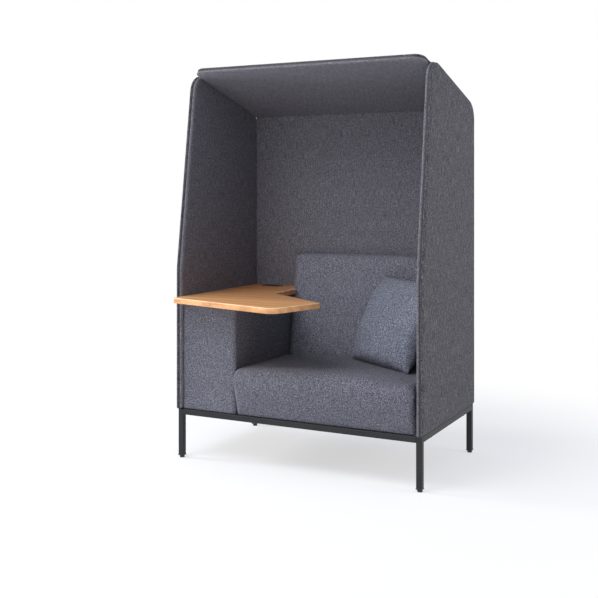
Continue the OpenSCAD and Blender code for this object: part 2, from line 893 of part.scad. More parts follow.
module socket_slots(w, length, depth) {
    for (s = [-1, 1])
        for (k = [-1, 1])
            translate([outlet_x + s * socket_pitch / 2 + k * slot_pitch / 2 - w / 2, outlet_y - length / 2,
                socket_top_z - depth])
                cube([w, length, depth + cut]);
}

module socket_insert() {
    color(frame_color)
        difference() {
            translate([outlet_x, outlet_y, socket_top_z - socket_t])
                linear_extrude(socket_t)
                    polygon(outline(plate(well_w, well_d, housing_wall)));
            socket_slots(slot_w, slot_len, contact_len);
        }
}

module socket_contacts() {
    color("goldenrod")
        for (s = [-1, 1])
            for (k = [-1, 1])
                translate([outlet_x + s * socket_pitch / 2 + k * (slot_pitch + slot_w - contact_t) / 2
                    - contact_t / 2, outlet_y - slot_len / 2, socket_top_z - contact_len])
                    cube([contact_t, slot_len, contact_len - 2 * contact_t]);
}

// Gland in the bottom of the housing, where the supply lead would come in
module cable_gland() {
    z = table_z - outlet_h;
    color(black_color)
        translate([outlet_x, outlet_y, z])
            difference() {
                union() {
                    translate([0, 0, -gland_flange_t])
                        cylinder(h = gland_flange_t, d = gland_flange_d, $fn = 32);
                    translate([0, 0, -gland_len])
                        cylinder(h = gland_len + housing_wall, d = gland_d, $fn = 32);
                }
                translate([0, 0, -gland_len - cut])
                    cylinder(h = gland_len + housing_wall + 2 * cut, d = gland_bore_d, $fn = 32);
            }
}

module side_core(s) {
    color(ply_color)
        difference() {
            on_side(s)
                core(side_corners, foot = core_foot);
            bolt_bores();
            dowel_bores();
        }
}

// The inner pad faces the sitter; the outer pad is its mirror image
module side_pad(s, inner) {
    flip = inner ? -s : s;
    color(panel_color)
        difference() {
            translate([s * x_mid, 0, 0])
                mirror([flip < 0 ? 1 : 0, 0, 0])
                    rotate([90, 0, 90])
                        padded_half(side_corners, foot = core_foot);
            if (inner)
                dowel_bores();
        }
}

module back_panel_core() {
    color(ply_color)
        difference() {
            on_back()
                core(back_corners, foot = core_foot);
            bolt_bores();
            dowel_bores();
        }
}

module back_pad(inner) {
    color(panel_color)
        difference() {
            on_back()
                mirror([0, 0, inner ? 0 : 1])
                    padded_half(back_corners, foot = core_foot);
            dowel_bores();
        }
}

module roof_core() {
    color(ply_color)
        difference() {
            on_roof()
                core(roof_corners);
            dowel_bores();
        }
}

module roof_pad(upper) {
    color(panel_color)
        difference() {
            on_roof()
                mirror([0, 0, upper ? 0 : 1])
                    padded_half(roof_corners);
            dowel_bores();
        }
}

// One ring of the pillow: round near the middle of a face, square with drawn-in sides at the seam
function pillow_radius(a, s) =
    let (sq = 1 / max(abs(cos(a)), abs(sin(a))), corner = (sq - 1) / (sqrt(2) - 1), w = s * s)
    (1 - w + w * sq) * (1 - pillow_draw_share * w * (1 - corner));
function pillow_ring(s, side) =
    let (h = pillow_t / 2 * sqrt(1 - s * s) + pillow_w * pillow_seam_share / 2)
    [for (k = [0:pillow_steps - 1])
        let (a = 360 * k / pillow_steps, r = pillow_half * s * pillow_radius(a, s))
        [r * cos(a), r * sin(a), side * h]];

module pillow() {
    shares = pillow_level_shares;
    n = len(shares) - 1;
    color(panel_color)
        translate([pillow_x, pillow_y, pillow_z])
            rotate([90 - pillow_lean, 0, -pillow_turn])
                rotate([0, 0, pillow_roll])
                    skin(concat([for (k = [0:n]) pillow_ring(shares[k], -1)],
                        [for (k = [n:-1:0]) pillow_ring(shares[k], 1)]));
}

to_frame() leg(-1, -1);  // leg_front_left
to_frame() leg(1, -1);  // leg_front_right
to_frame() leg(-1, 1);  // leg_rear_left
to_frame() leg(1, 1);  // leg_rear_right
to_frame() rail_front();
to_frame() rail_rear();
to_frame() rail_side(-1);  // rail_left
to_frame() rail_side(1);  // rail_right
to_frame() cross_bar(bar_x_shares[0]);  // cross_bar_left
to_frame() cross_bar(bar_x_shares[1]);  // cross_bar_right
to_frame() leg_plugs();
to_frame() foot(-1, -1);  // foot_front_left
to_frame() foot(1, -1);  // foot_front_right
to_frame() foot(-1, 1);  // foot_rear_left
to_frame() foot(1, 1);  // foot_rear_right
to_frame() seat_front_board();
to_frame() seat_rear_board();
to_frame() seat_end_board(pocket_x0);  // seat_end_board_left
to_frame() seat_end_board(pocket_x1 - board_t);  // seat_end_board_right
to_frame() seat_deck();
to_frame() seat_cushion();
to_frame() backrest_board();
to_frame() backrest_rib(-1);  // backrest_rib_left
to_frame() backrest_rib(0);  // backrest_rib_middle
to_frame() backrest_rib(1);  // backrest_rib_right
to_frame() backrest_cushion();
to_frame() box_front_board();
to_frame() box_side_board(box_in_x - board_t);  // box_right_board
to_frame() box_side_board(box_x0);  // box_left_board
to_frame() box_rear_board();
to_frame() box_top_board();
to_frame() side_box_cover();
to_frame() tabletop();
to_frame() table_screws();
to_frame() outlet_housing();
to_frame() outlet_trim();
to_frame() socket_insert();
to_frame() socket_contacts();
to_frame() outlet_lid();
to_frame() lid_pin();
to_frame() cable_gland();
to_frame() side_core(-1);  // left_panel_core
to_frame() side_pad(-1, true);  // left_panel_inner_pad
to_frame() side_pad(-1, false);  // left_panel_outer_pad
to_frame() side_core(1);  // right_panel_core
to_frame() side_pad(1, true);  // right_panel_inner_pad
to_frame() side_pad(1, false);  // right_panel_outer_pad
to_frame() back_panel_core();
to_frame() back_pad(true);  // back_panel_inner_pad
to_frame() back_pad(false);  // back_panel_outer_pad
to_frame() roof_core();
to_frame() roof_pad(false);  // roof_lower_pad
to_frame() roof_pad(true);  // roof_upper_pad
to_frame() panel_bolts();
to_frame() panel_dowels();
to_frame() pillow();
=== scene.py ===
"""Dresses the sofa booth: fabric panels, seat, backrest, pillow, wooden tabletop, coated frame and outlet."""

import json
import math

import bmesh
import bpy
from mathutils import Matrix, Vector, noise

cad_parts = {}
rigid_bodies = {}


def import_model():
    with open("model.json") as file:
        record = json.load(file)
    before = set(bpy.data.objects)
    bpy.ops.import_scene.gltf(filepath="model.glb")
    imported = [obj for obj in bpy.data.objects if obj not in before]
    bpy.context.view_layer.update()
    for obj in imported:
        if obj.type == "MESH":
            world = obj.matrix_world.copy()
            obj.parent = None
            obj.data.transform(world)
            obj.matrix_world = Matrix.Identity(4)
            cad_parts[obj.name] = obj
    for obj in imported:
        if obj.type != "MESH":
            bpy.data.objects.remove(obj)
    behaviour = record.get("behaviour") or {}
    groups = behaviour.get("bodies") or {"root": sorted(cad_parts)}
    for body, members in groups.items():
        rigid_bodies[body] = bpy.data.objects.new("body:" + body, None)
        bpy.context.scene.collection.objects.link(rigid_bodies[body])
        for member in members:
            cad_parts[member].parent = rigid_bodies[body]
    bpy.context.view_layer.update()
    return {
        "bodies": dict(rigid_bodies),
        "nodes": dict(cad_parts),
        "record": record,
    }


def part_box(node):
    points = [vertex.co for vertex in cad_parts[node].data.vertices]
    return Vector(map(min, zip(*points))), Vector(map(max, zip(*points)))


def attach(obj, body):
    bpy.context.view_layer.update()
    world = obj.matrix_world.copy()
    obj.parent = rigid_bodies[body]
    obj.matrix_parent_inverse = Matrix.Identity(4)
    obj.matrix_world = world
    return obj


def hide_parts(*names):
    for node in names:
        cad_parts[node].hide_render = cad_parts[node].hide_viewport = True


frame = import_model()

MM = 0.001
IMAGE_SIZE = 598


def span(node, axis):
    """Lowest and highest place of a node along one axis."""
    low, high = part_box(node)
    return low[axis], high[axis]


def middle(node, axis):
    """Middle of a node along one axis."""
    return sum(span(node, axis)) / 2


# The booth stands with the middle of its panels behind the origin, because the tabletop reaches forward
SHIFT_Y = middle("left_panel_core", 1)
ROOT = next(body for body in frame["bodies"] if body == "booth")


# Camera, from the photograph's straight edges

CAMERA_PLACE = (1.8780, -3.9703, 1.1803)
CAMERA_TURN = 26.977
FOCAL_PIXELS = 973.86
HORIZON_ROW = 192.618
SENSOR_WIDTH = 36.0


def add_camera():
    data = bpy.data.cameras.new("camera")
    data.sensor_fit = "HORIZONTAL"
    data.sensor_width = SENSOR_WIDTH
    data.lens = SENSOR_WIDTH * FOCAL_PIXELS / IMAGE_SIZE
    data.shift_y = (HORIZON_ROW - IMAGE_SIZE / 2) / IMAGE_SIZE
    camera = bpy.data.objects.new("camera", data)
    bpy.context.scene.collection.objects.link(camera)
    x, y, z = CAMERA_PLACE
    camera.location = (x, y + SHIFT_Y, z)
    camera.rotation_euler = (math.pi / 2, 0, math.radians(CAMERA_TURN))
    bpy.context.scene.camera = camera


# Materials


def new_material(name):
    material = bpy.data.materials.new(name)
    material.use_nodes = True
    return material, Nodes(material.node_tree)


class Nodes:
    """Short calls for building a node tree."""

    def __init__(self, tree):
        self.tree = tree
        self.shader = tree.nodes.get("Principled BSDF")

    def add(self, kind, inputs=None, **settings):
        node = self.tree.nodes.new(kind)
        for key, value in settings.items():
            setattr(node, key, value)
        for key, value in (inputs or {}).items():
            self.feed(node, key, value)
        return node

    def feed(self, node, key, value):
        if isinstance(value, bpy.types.NodeSocket):
            self.tree.links.new(value, node.inputs[key])
        else:
            node.inputs[key].default_value = value

    def math(self, operation, *values):
        node = self.add("ShaderNodeMath", operation=operation)
        for k, value in enumerate(values):
            self.feed(node, k, value)
        return node.outputs[0]

    def stretch(self, vector, scale):
        node = self.add("ShaderNodeMapping", {"Vector": vector, "Scale": scale})
        return node.outputs["Vector"]

    def noise(self, vector, scale, detail=2.0, roughness=0.5):
        values = {"Vector": vector, "Scale": scale, "Detail": detail, "Roughness": roughness}
        return self.add("ShaderNodeTexNoise", values).outputs["Fac"]

    def ramp(self, value, stops):
        node = self.add("ShaderNodeValToRGB", {"Fac": value})
        elements = node.color_ramp.elements
        while len(elements) < len(stops):
            elements.new(0.5)
        for element, (place, color) in zip(elements, stops):
            element.position = place
            element.color = (*color, 1)
        return node.outputs["Color"]

    def mix(self, fac, a, b, blend="MIX"):
        node = self.add("ShaderNodeMix", data_type="RGBA", blend_type=blend)
        self.feed(node, "Factor", fac)
        for key, value in ((6, a), (7, b)):
            if isinstance(value, tuple):
                value = (*value, 1)
            self.feed(node, key, value)
        return node.outputs[2]

    def bump(self, height, distance, strength):
        values = {"Height": height, "Distance": distance, "Strength": strength}
        return self.add("ShaderNodeBump", values).outputs["Normal"]

    def finish(self, **inputs):
        for key, value in inputs.items():
            self.feed(self.shader, key.replace("_", " "), value)


def linear(red, green, blue):
    """A colour written as 0 to 255 screen values, in the renderer's linear values."""
    values = []
    for value in (red, green, blue):
        share = value / 255
        values.append(share / 12.92 if share <= 0.04045 else ((share + 0.055) / 1.055) ** 2.4)
    return tuple(values)


def tinted(color, share):
    return tuple(share * value for value in color)


YARN_PITCH = 1.7 * MM
YARN_SHARE = 0.18
FLECK_W = 7 * MM
FLECK_L = 12 * MM
SLUB_W = 3.6 * MM
SLUB_L = 48 * MM
TONE_ENDS = (0.32, 0.68)
CLOUD = 80 * MM
CLOUD_SHARE = 0.4
CLOUD_TINT = (1.05, 0.98, 0.93)
WEAVE_DEPTH = 0.3 * MM
SHEEN_TINT = (0.85, 0.93, 1.0, 1)


def fabric_material(name, color, contrast, slub, grain):
    """Heathered plain weave, read in metres of cloth from the UV map, where V runs along the warp.

    Short flecks and long slubs follow the warp, and each crossing of the yarns has a shade of its own.
    contrast is the share by which the flecks are darker and lighter, slub the weight of the long ones,
    and grain the size of the short ones.
    """
    material, n = new_material(name)
    cloth = n.add("ShaderNodeUVMap", uv_map="cloth").outputs["UV"]
    fleck = n.noise(n.stretch(cloth, (1 / FLECK_W, 1 / FLECK_L, 1)), 1 / grain, 4.0, 0.85)
    long_one = n.noise(n.stretch(cloth, (1 / SLUB_W, 1 / SLUB_L, 1)), 1.0, 1.0, 0.5)
    grid = n.stretch(cloth, (1 / YARN_PITCH, 1 / YARN_PITCH, 1))
    parts = n.add("ShaderNodeSeparateXYZ", {"Vector": grid})
    across, along = parts.outputs["X"], parts.outputs["Y"]
    numbers = {"X": n.math("FLOOR", across), "Y": n.math("FLOOR", along)}
    cell = n.add("ShaderNodeCombineXYZ", numbers).outputs[0]
    speck = n.add("ShaderNodeTexWhiteNoise", {"Vector": cell}, noise_dimensions="2D").outputs["Value"]
    tone = n.math("ADD", n.math("MULTIPLY", fleck, 1 - YARN_SHARE - slub), n.math("MULTIPLY", long_one, slub))
    tone = n.math("ADD", tone, n.math("MULTIPLY", speck, YARN_SHARE))
    dark = linear(*(value * (1 - contrast) for value in color))
    light = linear(*(value * (1 + contrast) for value in color))
    shade = n.ramp(tone, [(TONE_ENDS[0], dark), (0.5, linear(*color)), (TONE_ENDS[1], light)])
    warm = linear(*(value * share for value, share in zip(color, CLOUD_TINT)))
    cloud = n.ramp(n.noise(cloth, 1 / CLOUD, 3.0, 0.6), [(0.4, (0, 0, 0)), (0.65, (1, 1, 1))])
    shade = n.mix(n.math("MULTIPLY", cloud, CLOUD_SHARE), shade, n.mix(0.5, shade, warm))
    nub = n.math("MULTIPLY", n.math("SINE", n.math("MULTIPLY", across, math.pi)),
                 n.math("SINE", n.math("MULTIPLY", along, math.pi)))
    height = n.math("ADD", n.math("ABSOLUTE", nub), n.math("MULTIPLY", tone, 1.5))
    n.finish(Base_Color=shade, Roughness=0.95, Normal=n.bump(height, WEAVE_DEPTH, 0.7), Sheen_Weight=0.13,
             Sheen_Roughness=0.3, Sheen_Tint=SHEEN_TINT, Specular_IOR_Level=0.1)
    return material


PEEL_SIZE = 0.8 * MM
PEEL_DEPTH = 0.05 * MM
COAT_CLOUD = 70 * MM


def coat_material():
    """Charcoal powder coat: fine orange peel and a satin gloss."""
    material, n = new_material("powder_coat")
    place = n.add("ShaderNodeTexCoord").outputs["Object"]
    peel = n.noise(place, 1 / PEEL_SIZE, 2.0, 0.5)
    cloud = n.noise(place, 1 / COAT_CLOUD, 3.0, 0.55)
    color = n.ramp(cloud, [(0.3, linear(32, 32, 34)), (0.7, linear(38, 38, 40))])
    rough = n.add("ShaderNodeMapRange", {"Value": cloud, "To Min": 0.42, "To Max": 0.55}).outputs[0]
    n.finish(Base_Color=color, Roughness=rough, Normal=n.bump(peel, PEEL_DEPTH, 0.5), Specular_IOR_Level=0.3)
    return material


# Noise scales along and across the grain, in repeats a metre
BAND_SCALE = (0.5, 24.0)
FINE_SCALE = (12.0, 900.0)
RAY_SCALE = (160.0, 1300.0)
RAY_SHARE = 0.35
RAY_DARK = 0.62
# A darker, redder tint that spreads over the rear of the top
REAR_TINT_FROM = SHIFT_Y - 0.15
REAR_TINT_TO = SHIFT_Y + 0.35
REAR_TINT_SHARE = 0.8
REAR_TINT = (0.82, 0.62, 0.56)
PORE_DEPTH = 0.04 * MM


def wood_material(name, pale, deep, along, rear_color=None):
    """Beech: long grain lines, short dark rays and a satin lacquer. along is the grain's axis.

    rear_color is a darker, redder tint that spreads over the rear of a top.
    """
    material, n = new_material(name)
    place = n.add("ShaderNodeTexCoord").outputs["Object"]

    def drawn_out(scales):
        long_way, cross_way = scales
        return n.stretch(place, tuple(long_way if axis == along else cross_way for axis in range(3)))

    grain_place = drawn_out(BAND_SCALE)
    wander = n.noise(grain_place, 1.3, 3.0, 0.55)
    bands = n.noise(grain_place, 5.0, 4.0, 0.6)
    fine = n.noise(drawn_out(FINE_SCALE), 1.0, 2.0, 0.6)
    ray = n.noise(drawn_out(RAY_SCALE), 1.0, 1.0, 0.5)
    tone = n.math("ADD", n.math("MULTIPLY", wander, 0.45), n.math("MULTIPLY", bands, 0.4))
    tone = n.math("ADD", tone, n.math("MULTIPLY", fine, 0.15))
    color = n.ramp(tone, [(0.4, pale), (0.6, deep)])
    if rear_color:
        across = n.add("ShaderNodeSeparateXYZ", {0: place}).outputs["XYZ"[1 - along]]
        reach = n.math("ADD", across, n.math("MULTIPLY", wander, 0.3))
        values = {"Value": reach, "From Min": REAR_TINT_FROM, "From Max": REAR_TINT_TO, "To Max": REAR_TINT_SHARE}
        spread = n.add("ShaderNodeMapRange", values, interpolation_type="SMOOTHSTEP").outputs[0]
        color = n.mix(spread, color, n.mix(1.0, color, rear_color, "MULTIPLY"))
    specks = n.ramp(ray, [(0.68, (0, 0, 0)), (0.78, (1, 1, 1))])
    color = n.mix(n.math("MULTIPLY", specks, RAY_SHARE), color, tinted(deep, RAY_DARK))
    height = n.math("ADD", n.math("MULTIPLY", fine, 0.6), n.math("MULTIPLY", ray, 0.4))
    rough = n.add("ShaderNodeMapRange", {"Value": fine, "To Min": 0.36, "To Max": 0.5}).outputs[0]
    normal = n.bump(height, PORE_DEPTH, 0.5)
    n.finish(Base_Color=color, Roughness=rough, Normal=normal, Specular_IOR_Level=0.4)
    return material


SPARK_SIZE = 0.5 * MM
SPARK_DEPTH = 0.06 * MM
PLASTIC_CLOUD = 25 * MM
METAL_CLOUD = 6 * MM


def plastic_material(name, color, roughness):
    """Moulded plastic with a fine spark-eroded grain."""
    material, n = new_material(name)
    place = n.add("ShaderNodeTexCoord").outputs["Object"]
    grain = n.noise(place, 1 / SPARK_SIZE, 2.0, 0.6)
    shade = n.noise(place, 1 / PLASTIC_CLOUD, 2.0, 0.5)
    tone = n.ramp(shade, [(0.3, tinted(color, 0.85)), (0.7, tinted(color, 1.15))])
    n.finish(Base_Color=tone, Roughness=roughness, Normal=n.bump(grain, SPARK_DEPTH, 0.6))
    return material


def metal_material(name, color, roughness):
    """Plated metal with a slightly uneven polish."""
    material, n = new_material(name)
    place = n.add("ShaderNodeTexCoord").outputs["Object"]
    cloud = n.noise(place, 1 / METAL_CLOUD, 3.0, 0.6)
    rough = n.add("ShaderNodeMapRange", {"Value": cloud, "To Min": roughness, "To Max": roughness + 0.15})
    tone = n.ramp(cloud, [(0.3, tinted(color, 0.85)), (0.7, color)])
    n.finish(Base_Color=tone, Roughness=rough.outputs[0], Metallic=1.0)
    return material


# Outlines with rounded corners. A corner is (a, b, radius), and corners go round counter-clockwise


LEAST_R = 0.5 * MM
ARC_DENSITY = 1.5
ARC_LEAST = 6


def corner_frame(corners, k):
    before, here, after = (Vector(corners[(k + step) % len(corners)][:2]) for step in (-1, 0, 1))
    way_in, way_out = (here - before).normalized(), (after - here).normalized()
    normals = Vector((way_in.y, -way_in.x)), Vector((way_out.y, -way_out.x))
    angle = math.atan2(way_in.x * way_out.y - way_in.y * way_out.x, way_in.dot(way_out))
    return here, normals, angle


def corner_arc(corners, k, inset, count):
    here, (n1, n2), angle = corner_frame(corners, k)
    side = 1 if angle > 0 else -1
    radius = max(corners[k][2], inset + LEAST_R) if side > 0 else corners[k][2]
    centre = here - side * radius * (n1 + n2) / (1 + n1.dot(n2))
    start = math.atan2(n1.y, n1.x)
    points = []
    for step in range(count + 1):
        a = start + angle * step / count
        points.append(centre + (side * radius - inset) * Vector((math.cos(a), math.sin(a))))
    return points


def outline(corners, spacing, inset=0.0):
    """Points round the outline, as many at every inset."""
    arcs, plain = [], []
    for k, corner in enumerate(corners):
        angle = abs(corner_frame(corners, k)[2])
        count = max(ARC_LEAST, math.ceil(angle * corner[2] / spacing * ARC_DENSITY))
        arcs.append(corner_arc(corners, k, inset, count))
        plain.append(corner_arc(corners, k, 0.0, 1))
    points = []
    for k, arc in enumerate(arcs):
        points += arc
        after = (k + 1) % len(arcs)
        start, end = arc[-1], arcs[after][0]
        count = max(2, round((plain[after][0] - plain[k][-1]).length / spacing))
        points += [start.lerp(end, step / count) for step in range(1, count)]
    return points


# Meshes made of rings


def smooth_object(name, mesh, material):
    for polygon in mesh.polygons:
        polygon.use_smooth = True
    piece = bpy.data.objects.new(name, mesh)
    bpy.context.scene.collection.objects.link(piece)
    mesh.materials.append(material)
    return piece


def ring_mesh(name, rings, uvs, material, close_ends=True):
    """Joins rings of equal length into a skin. uvs holds each point's place on the cloth."""
    count = len(rings[0])
    bm = bmesh.new()
    layer = bm.loops.layers.uv.new("cloth")
    rows = [[bm.verts.new(point) for point in ring] for ring in rings]

    def face(corners, places):
        made = bm.faces.new(corners)
        for loop, place in zip(made.loops, places):
            loop[layer].uv = place

    def next_place(places, after):
        """The next point's place, or where the cloth's seam ends if the ring starts again there."""
        return places[count if after == 0 and len(places) > count else after]

    for low, high, low_uvs, high_uvs in zip(rows, rows[1:], uvs, uvs[1:]):
        for k in range(count):
            after = (k + 1) % count
            spots = (low_uvs[k], next_place(low_uvs, after), next_place(high_uvs, after), high_uvs[k])
            face((low[k], low[after], high[after], high[k]), spots)
    if close_ends:
        for row, places, flip in ((rows[0], uvs[0], True), (rows[-1], uvs[-1], False)):
            centre = bm.verts.new(sum((vertex.co for vertex in row), Vector()) / count)
            spot = Vector((sum(p[0] for p in places[:count]), sum(p[1] for p in places[:count]))) / count
            for k in range(count):
                after = (k + 1) % count
                pair = (row[after], row[k]) if flip else (row[k], row[after])
                spots = (places[after], places[k]) if flip else (places[k], places[after])
                face((*pair, centre), (*spots, spot))
    mesh = bpy.data.meshes.new(name)
    bm.to_mesh(mesh)
    bm.free()
    return smooth_object(name, mesh, material)


def ripple(place, size, seed):
    """Smooth noise between about -1 and 1, with the given size of its waves."""
    return noise.noise(place / size + Vector((seed, 0, 0)))


def wave(place, size, seed, height):
    """A ripple of the given height."""
    return ripple(place, size, seed) * height


CLOTH_QUALITY = 6
CLOTH_MASS = 0.3
CLOTH_STIFFNESS = 15.0
CLOTH_BENDING = 0.5


def swell(piece, pressure, frames, cap=None, holds=None):
    """Cloth simulation: air pressure inside a closed piece and no gravity. Its last frame is applied.

    cap is the furthest that a point may move. holds gives each point's hold, from 0, free, to 1, fixed.
    """
    scene = bpy.context.scene
    modifier = piece.modifiers.new("cloth", "CLOTH")
    modifier.point_cache.frame_end = frames
    cloth = modifier.settings
    cloth.quality = CLOTH_QUALITY
    cloth.mass = CLOTH_MASS
    cloth.tension_stiffness = cloth.compression_stiffness = cloth.shear_stiffness = CLOTH_STIFFNESS
    cloth.bending_stiffness = CLOTH_BENDING
    cloth.use_pressure = True
    cloth.uniform_pressure_force = pressure
    cloth.effector_weights.gravity = 0
    if holds:
        group = piece.vertex_groups.new(name="holds")
        for index, hold in enumerate(holds):
            group.add([index], hold, "REPLACE")
        cloth.vertex_group_mass = group.name
    for number in range(1, frames + 1):
        scene.frame_set(number)
    shown = piece.evaluated_get(bpy.context.evaluated_depsgraph_get())
    ends = [vertex.co.copy() for vertex in shown.data.vertices]
    piece.modifiers.clear()
    piece.vertex_groups.clear()
    scene.frame_set(1)
    for vertex, end in zip(piece.data.vertices, ends):
        step = end - vertex.co
        if cap is not None and step.length > cap:
            step *= cap / step.length
        vertex.co += step


# Upholstered panels: two pads that meet in a seam half way through the thickness

PANEL_T = 30 * MM
HALF_T = PANEL_T / 2
SNUG = 0.5 * MM
X_OUT = span("right_panel_outer_pad", 0)[1]
X_MID = X_OUT - HALF_T
X_IN = X_OUT - PANEL_T
BOOTH_D = 704 * MM
Y_FRONT, Y_REAR = SHIFT_Y - BOOTH_D / 2, SHIFT_Y + BOOTH_D / 2
FOOT_Z = 218.3 * MM
ROOF_TILT = math.radians(15.2)
FRONT_SETBACK = 121 * MM
BEND_Z = 845 * MM
SIDE_FRONT_Z = 1738 * MM
SIDE_REAR_Z = SIDE_FRONT_Z - (BOOTH_D - FRONT_SETBACK) * math.tan(ROOF_TILT)
SIDE_CORNERS = [
    (Y_FRONT, FOOT_Z, 6 * MM),
    (Y_REAR, FOOT_Z, 6 * MM),
    (Y_REAR, SIDE_REAR_Z, 95 * MM),
    (Y_FRONT + FRONT_SETBACK, SIDE_FRONT_Z, 82 * MM),
    (Y_FRONT, BEND_Z, 350 * MM)]

ROOF_FRONT_Y = Y_FRONT + 94 * MM
ROOF_FRONT_Z = 1732.5 * MM
ROOF_REAR_Y = Y_REAR - 19 * MM
ROOF_LEN = (ROOF_REAR_Y - ROOF_FRONT_Y) / math.cos(ROOF_TILT)
ROOF_HALF_W = X_IN - SNUG
BACK_FOOT_R = 3 * MM
TIGHT_R = 0.5 * MM
ROOF_CORNERS = [
    (-ROOF_HALF_W, 0, 46 * MM),
    (ROOF_HALF_W, 0, 46 * MM),
    (ROOF_HALF_W, ROOF_LEN, TIGHT_R),
    (-ROOF_HALF_W, ROOF_LEN, TIGHT_R)]
BACK_TOP = span("back_panel_inner_pad", 2)[1]
BACK_CORNERS = [
    (-ROOF_HALF_W, FOOT_Z, BACK_FOOT_R),
    (ROOF_HALF_W, FOOT_Z, BACK_FOOT_R),
    (ROOF_HALF_W, BACK_TOP, TIGHT_R),
    (-ROOF_HALF_W, BACK_TOP, TIGHT_R)]

RING_SPACING = 12 * MM
SEAM_DEPTH = 12 * MM
LIP = 6.5 * MM
ROLL = 18 * MM
GROOVE_LIP = 2 * MM
GROOVE_ROLL = 24 * MM
GROOVE_SETBACK = 3 * MM
GROOVE_FLOOR = 3 * MM
SEAM_SLIT = 0.2 * MM
LIP_STEPS = 6
ROLL_STEPS = 10
ROLL_POWER = 0.85
CLOSED_DEPTH = 1 * MM
CLOSED_ROLL = 3 * MM
CLOSED_SHARE = 0.04
CLOSING = 70 * MM


def pad_profile(open_seam, grooved):
    """(inset, height) from the bottom of the seam, over the soft edge, to the flat face.

    An open seam's edge is a full bead. A grooved edge lies a little behind its neighbour's, with a flat
    floor between the two.
    """
    depth = SEAM_DEPTH if open_seam else CLOSED_DEPTH
    roll = ROLL if open_seam else CLOSED_ROLL
    lip = LIP
    back, floor, steps = 0.0, SEAM_SLIT, []
    if grooved:
        back, floor, steps = GROOVE_SETBACK, GROOVE_FLOOR, [(depth, SEAM_SLIT)]
        lip, roll = GROOVE_LIP, GROOVE_ROLL
    for step in range(LIP_STEPS):
        a = math.pi / 2 * step / LIP_STEPS
        inset = back + (depth - back) * (1 - math.sin(a))
        steps.append((inset, floor + lip * (1 - math.cos(a))))
    rise = HALF_T - lip - floor
    for step in range(ROLL_STEPS + 1):
        a = math.pi / 2 * step / ROLL_STEPS
        inset = back + (roll - back) * (1 - math.cos(a) ** ROLL_POWER)
        steps.append((inset, HALF_T - rise * (1 - math.sin(a) ** ROLL_POWER)))
    return steps


def pad_ring(corners, inset, closed_from):
    """The outline at an inset. Behind closed_from the inset fades out, and the edge meets its neighbours."""
    ring = outline(corners, RING_SPACING, inset)
    if closed_from is None:
        return ring
    tight = outline(corners, RING_SPACING, inset * CLOSED_SHARE)
    points = []
    for loose, close in zip(ring, tight):
        share = min(1.0, max(0.0, (close.y - closed_from) / CLOSING))
        points.append(loose.lerp(close, share * share * (3 - 2 * share)))
    return points


FACE_STEP = 4.4 * RING_SPACING
SLACK_WAVE = 260 * MM
SLACK_DEPTH = 0.7 * MM
PULL_WAVE = 34 * MM
PULL_DEPTH = 0.25 * MM


def pad(name, corners, place, flip, seed, material, open_seam, grooved, closed_from):
    """One pad. place turns (a, b, height) into the booth's frame, and flip mirrors it to the other side."""
    side = -1 if flip else 1
    profile = pad_profile(open_seam, grooved)
    travel = [0.0]
    for here, after in zip(profile, profile[1:]):
        travel.append(travel[-1] + math.dist(here, after))
    rings, cloth = [], []
    for (inset, height), gone in zip(profile, travel):
        rings.append([(p.x, p.y, height) for p in pad_ring(corners, inset, closed_from)])
        spread = profile[-1][0] - (travel[-1] - gone)
        cloth.append([(p.x + seed, p.y) for p in outline(corners, RING_SPACING, spread)])
    flat = [Vector(p) for p in rings[-1]]
    centre = sum(flat, Vector()) / len(flat)
    reach = max(p.x for p in flat) - min(p.x for p in flat)
    steps = max(8, round(reach / FACE_STEP))
    for step in range(1, steps):
        ring = [centre + (p - centre) * (1 - step / steps) for p in flat]
        rings.append([tuple(p) for p in ring])
        cloth.append([(p.x + seed, p.y) for p in ring])
    made = []
    for ring in rings:
        row = []
        for a, b, height in ring:
            here = Vector((a, b, seed * 3.7))
            slack = 0.5 + 0.5 * ripple(here, SLACK_WAVE, seed)
            pull = ripple(here, PULL_WAVE, seed + 7)
            sunk = height / HALF_T * (SLACK_DEPTH * slack + PULL_DEPTH * pull)
            row.append(place(a, b, side * (height - abs(sunk))))
        made.append(row)
    if flip:
        made = [row[::-1] for row in made]
        cloth = [row[::-1] for row in cloth]
    return ring_mesh(name, made, cloth, material)


def on_right(a, b, height):
    return Vector((X_MID + height, a, b))


def on_left(a, b, height):
    return Vector((-X_MID + height, a, b))


def on_back(a, b, height):
    return Vector((a, Y_REAR - HALF_T - height, b))


def on_roof(a, b, height):
    along = Vector((0, math.cos(ROOF_TILT), -math.sin(ROOF_TILT)))
    up = Vector((0, math.sin(ROOF_TILT), math.cos(ROOF_TILT)))
    return Vector((a, ROOF_FRONT_Y, ROOF_FRONT_Z)) + along * b + up * height


def dress(piece, node, body=ROOT):
    """Puts a piece on its body in a node's place, and hides the node."""
    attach(piece, body)
    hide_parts(node)


GROOVED = ("right_outer", "roof_upper", "left_inner")
CLOSED_FROM = {"roof_upper": CLOSING, "roof_lower": ROOF_LEN - CLOSING}


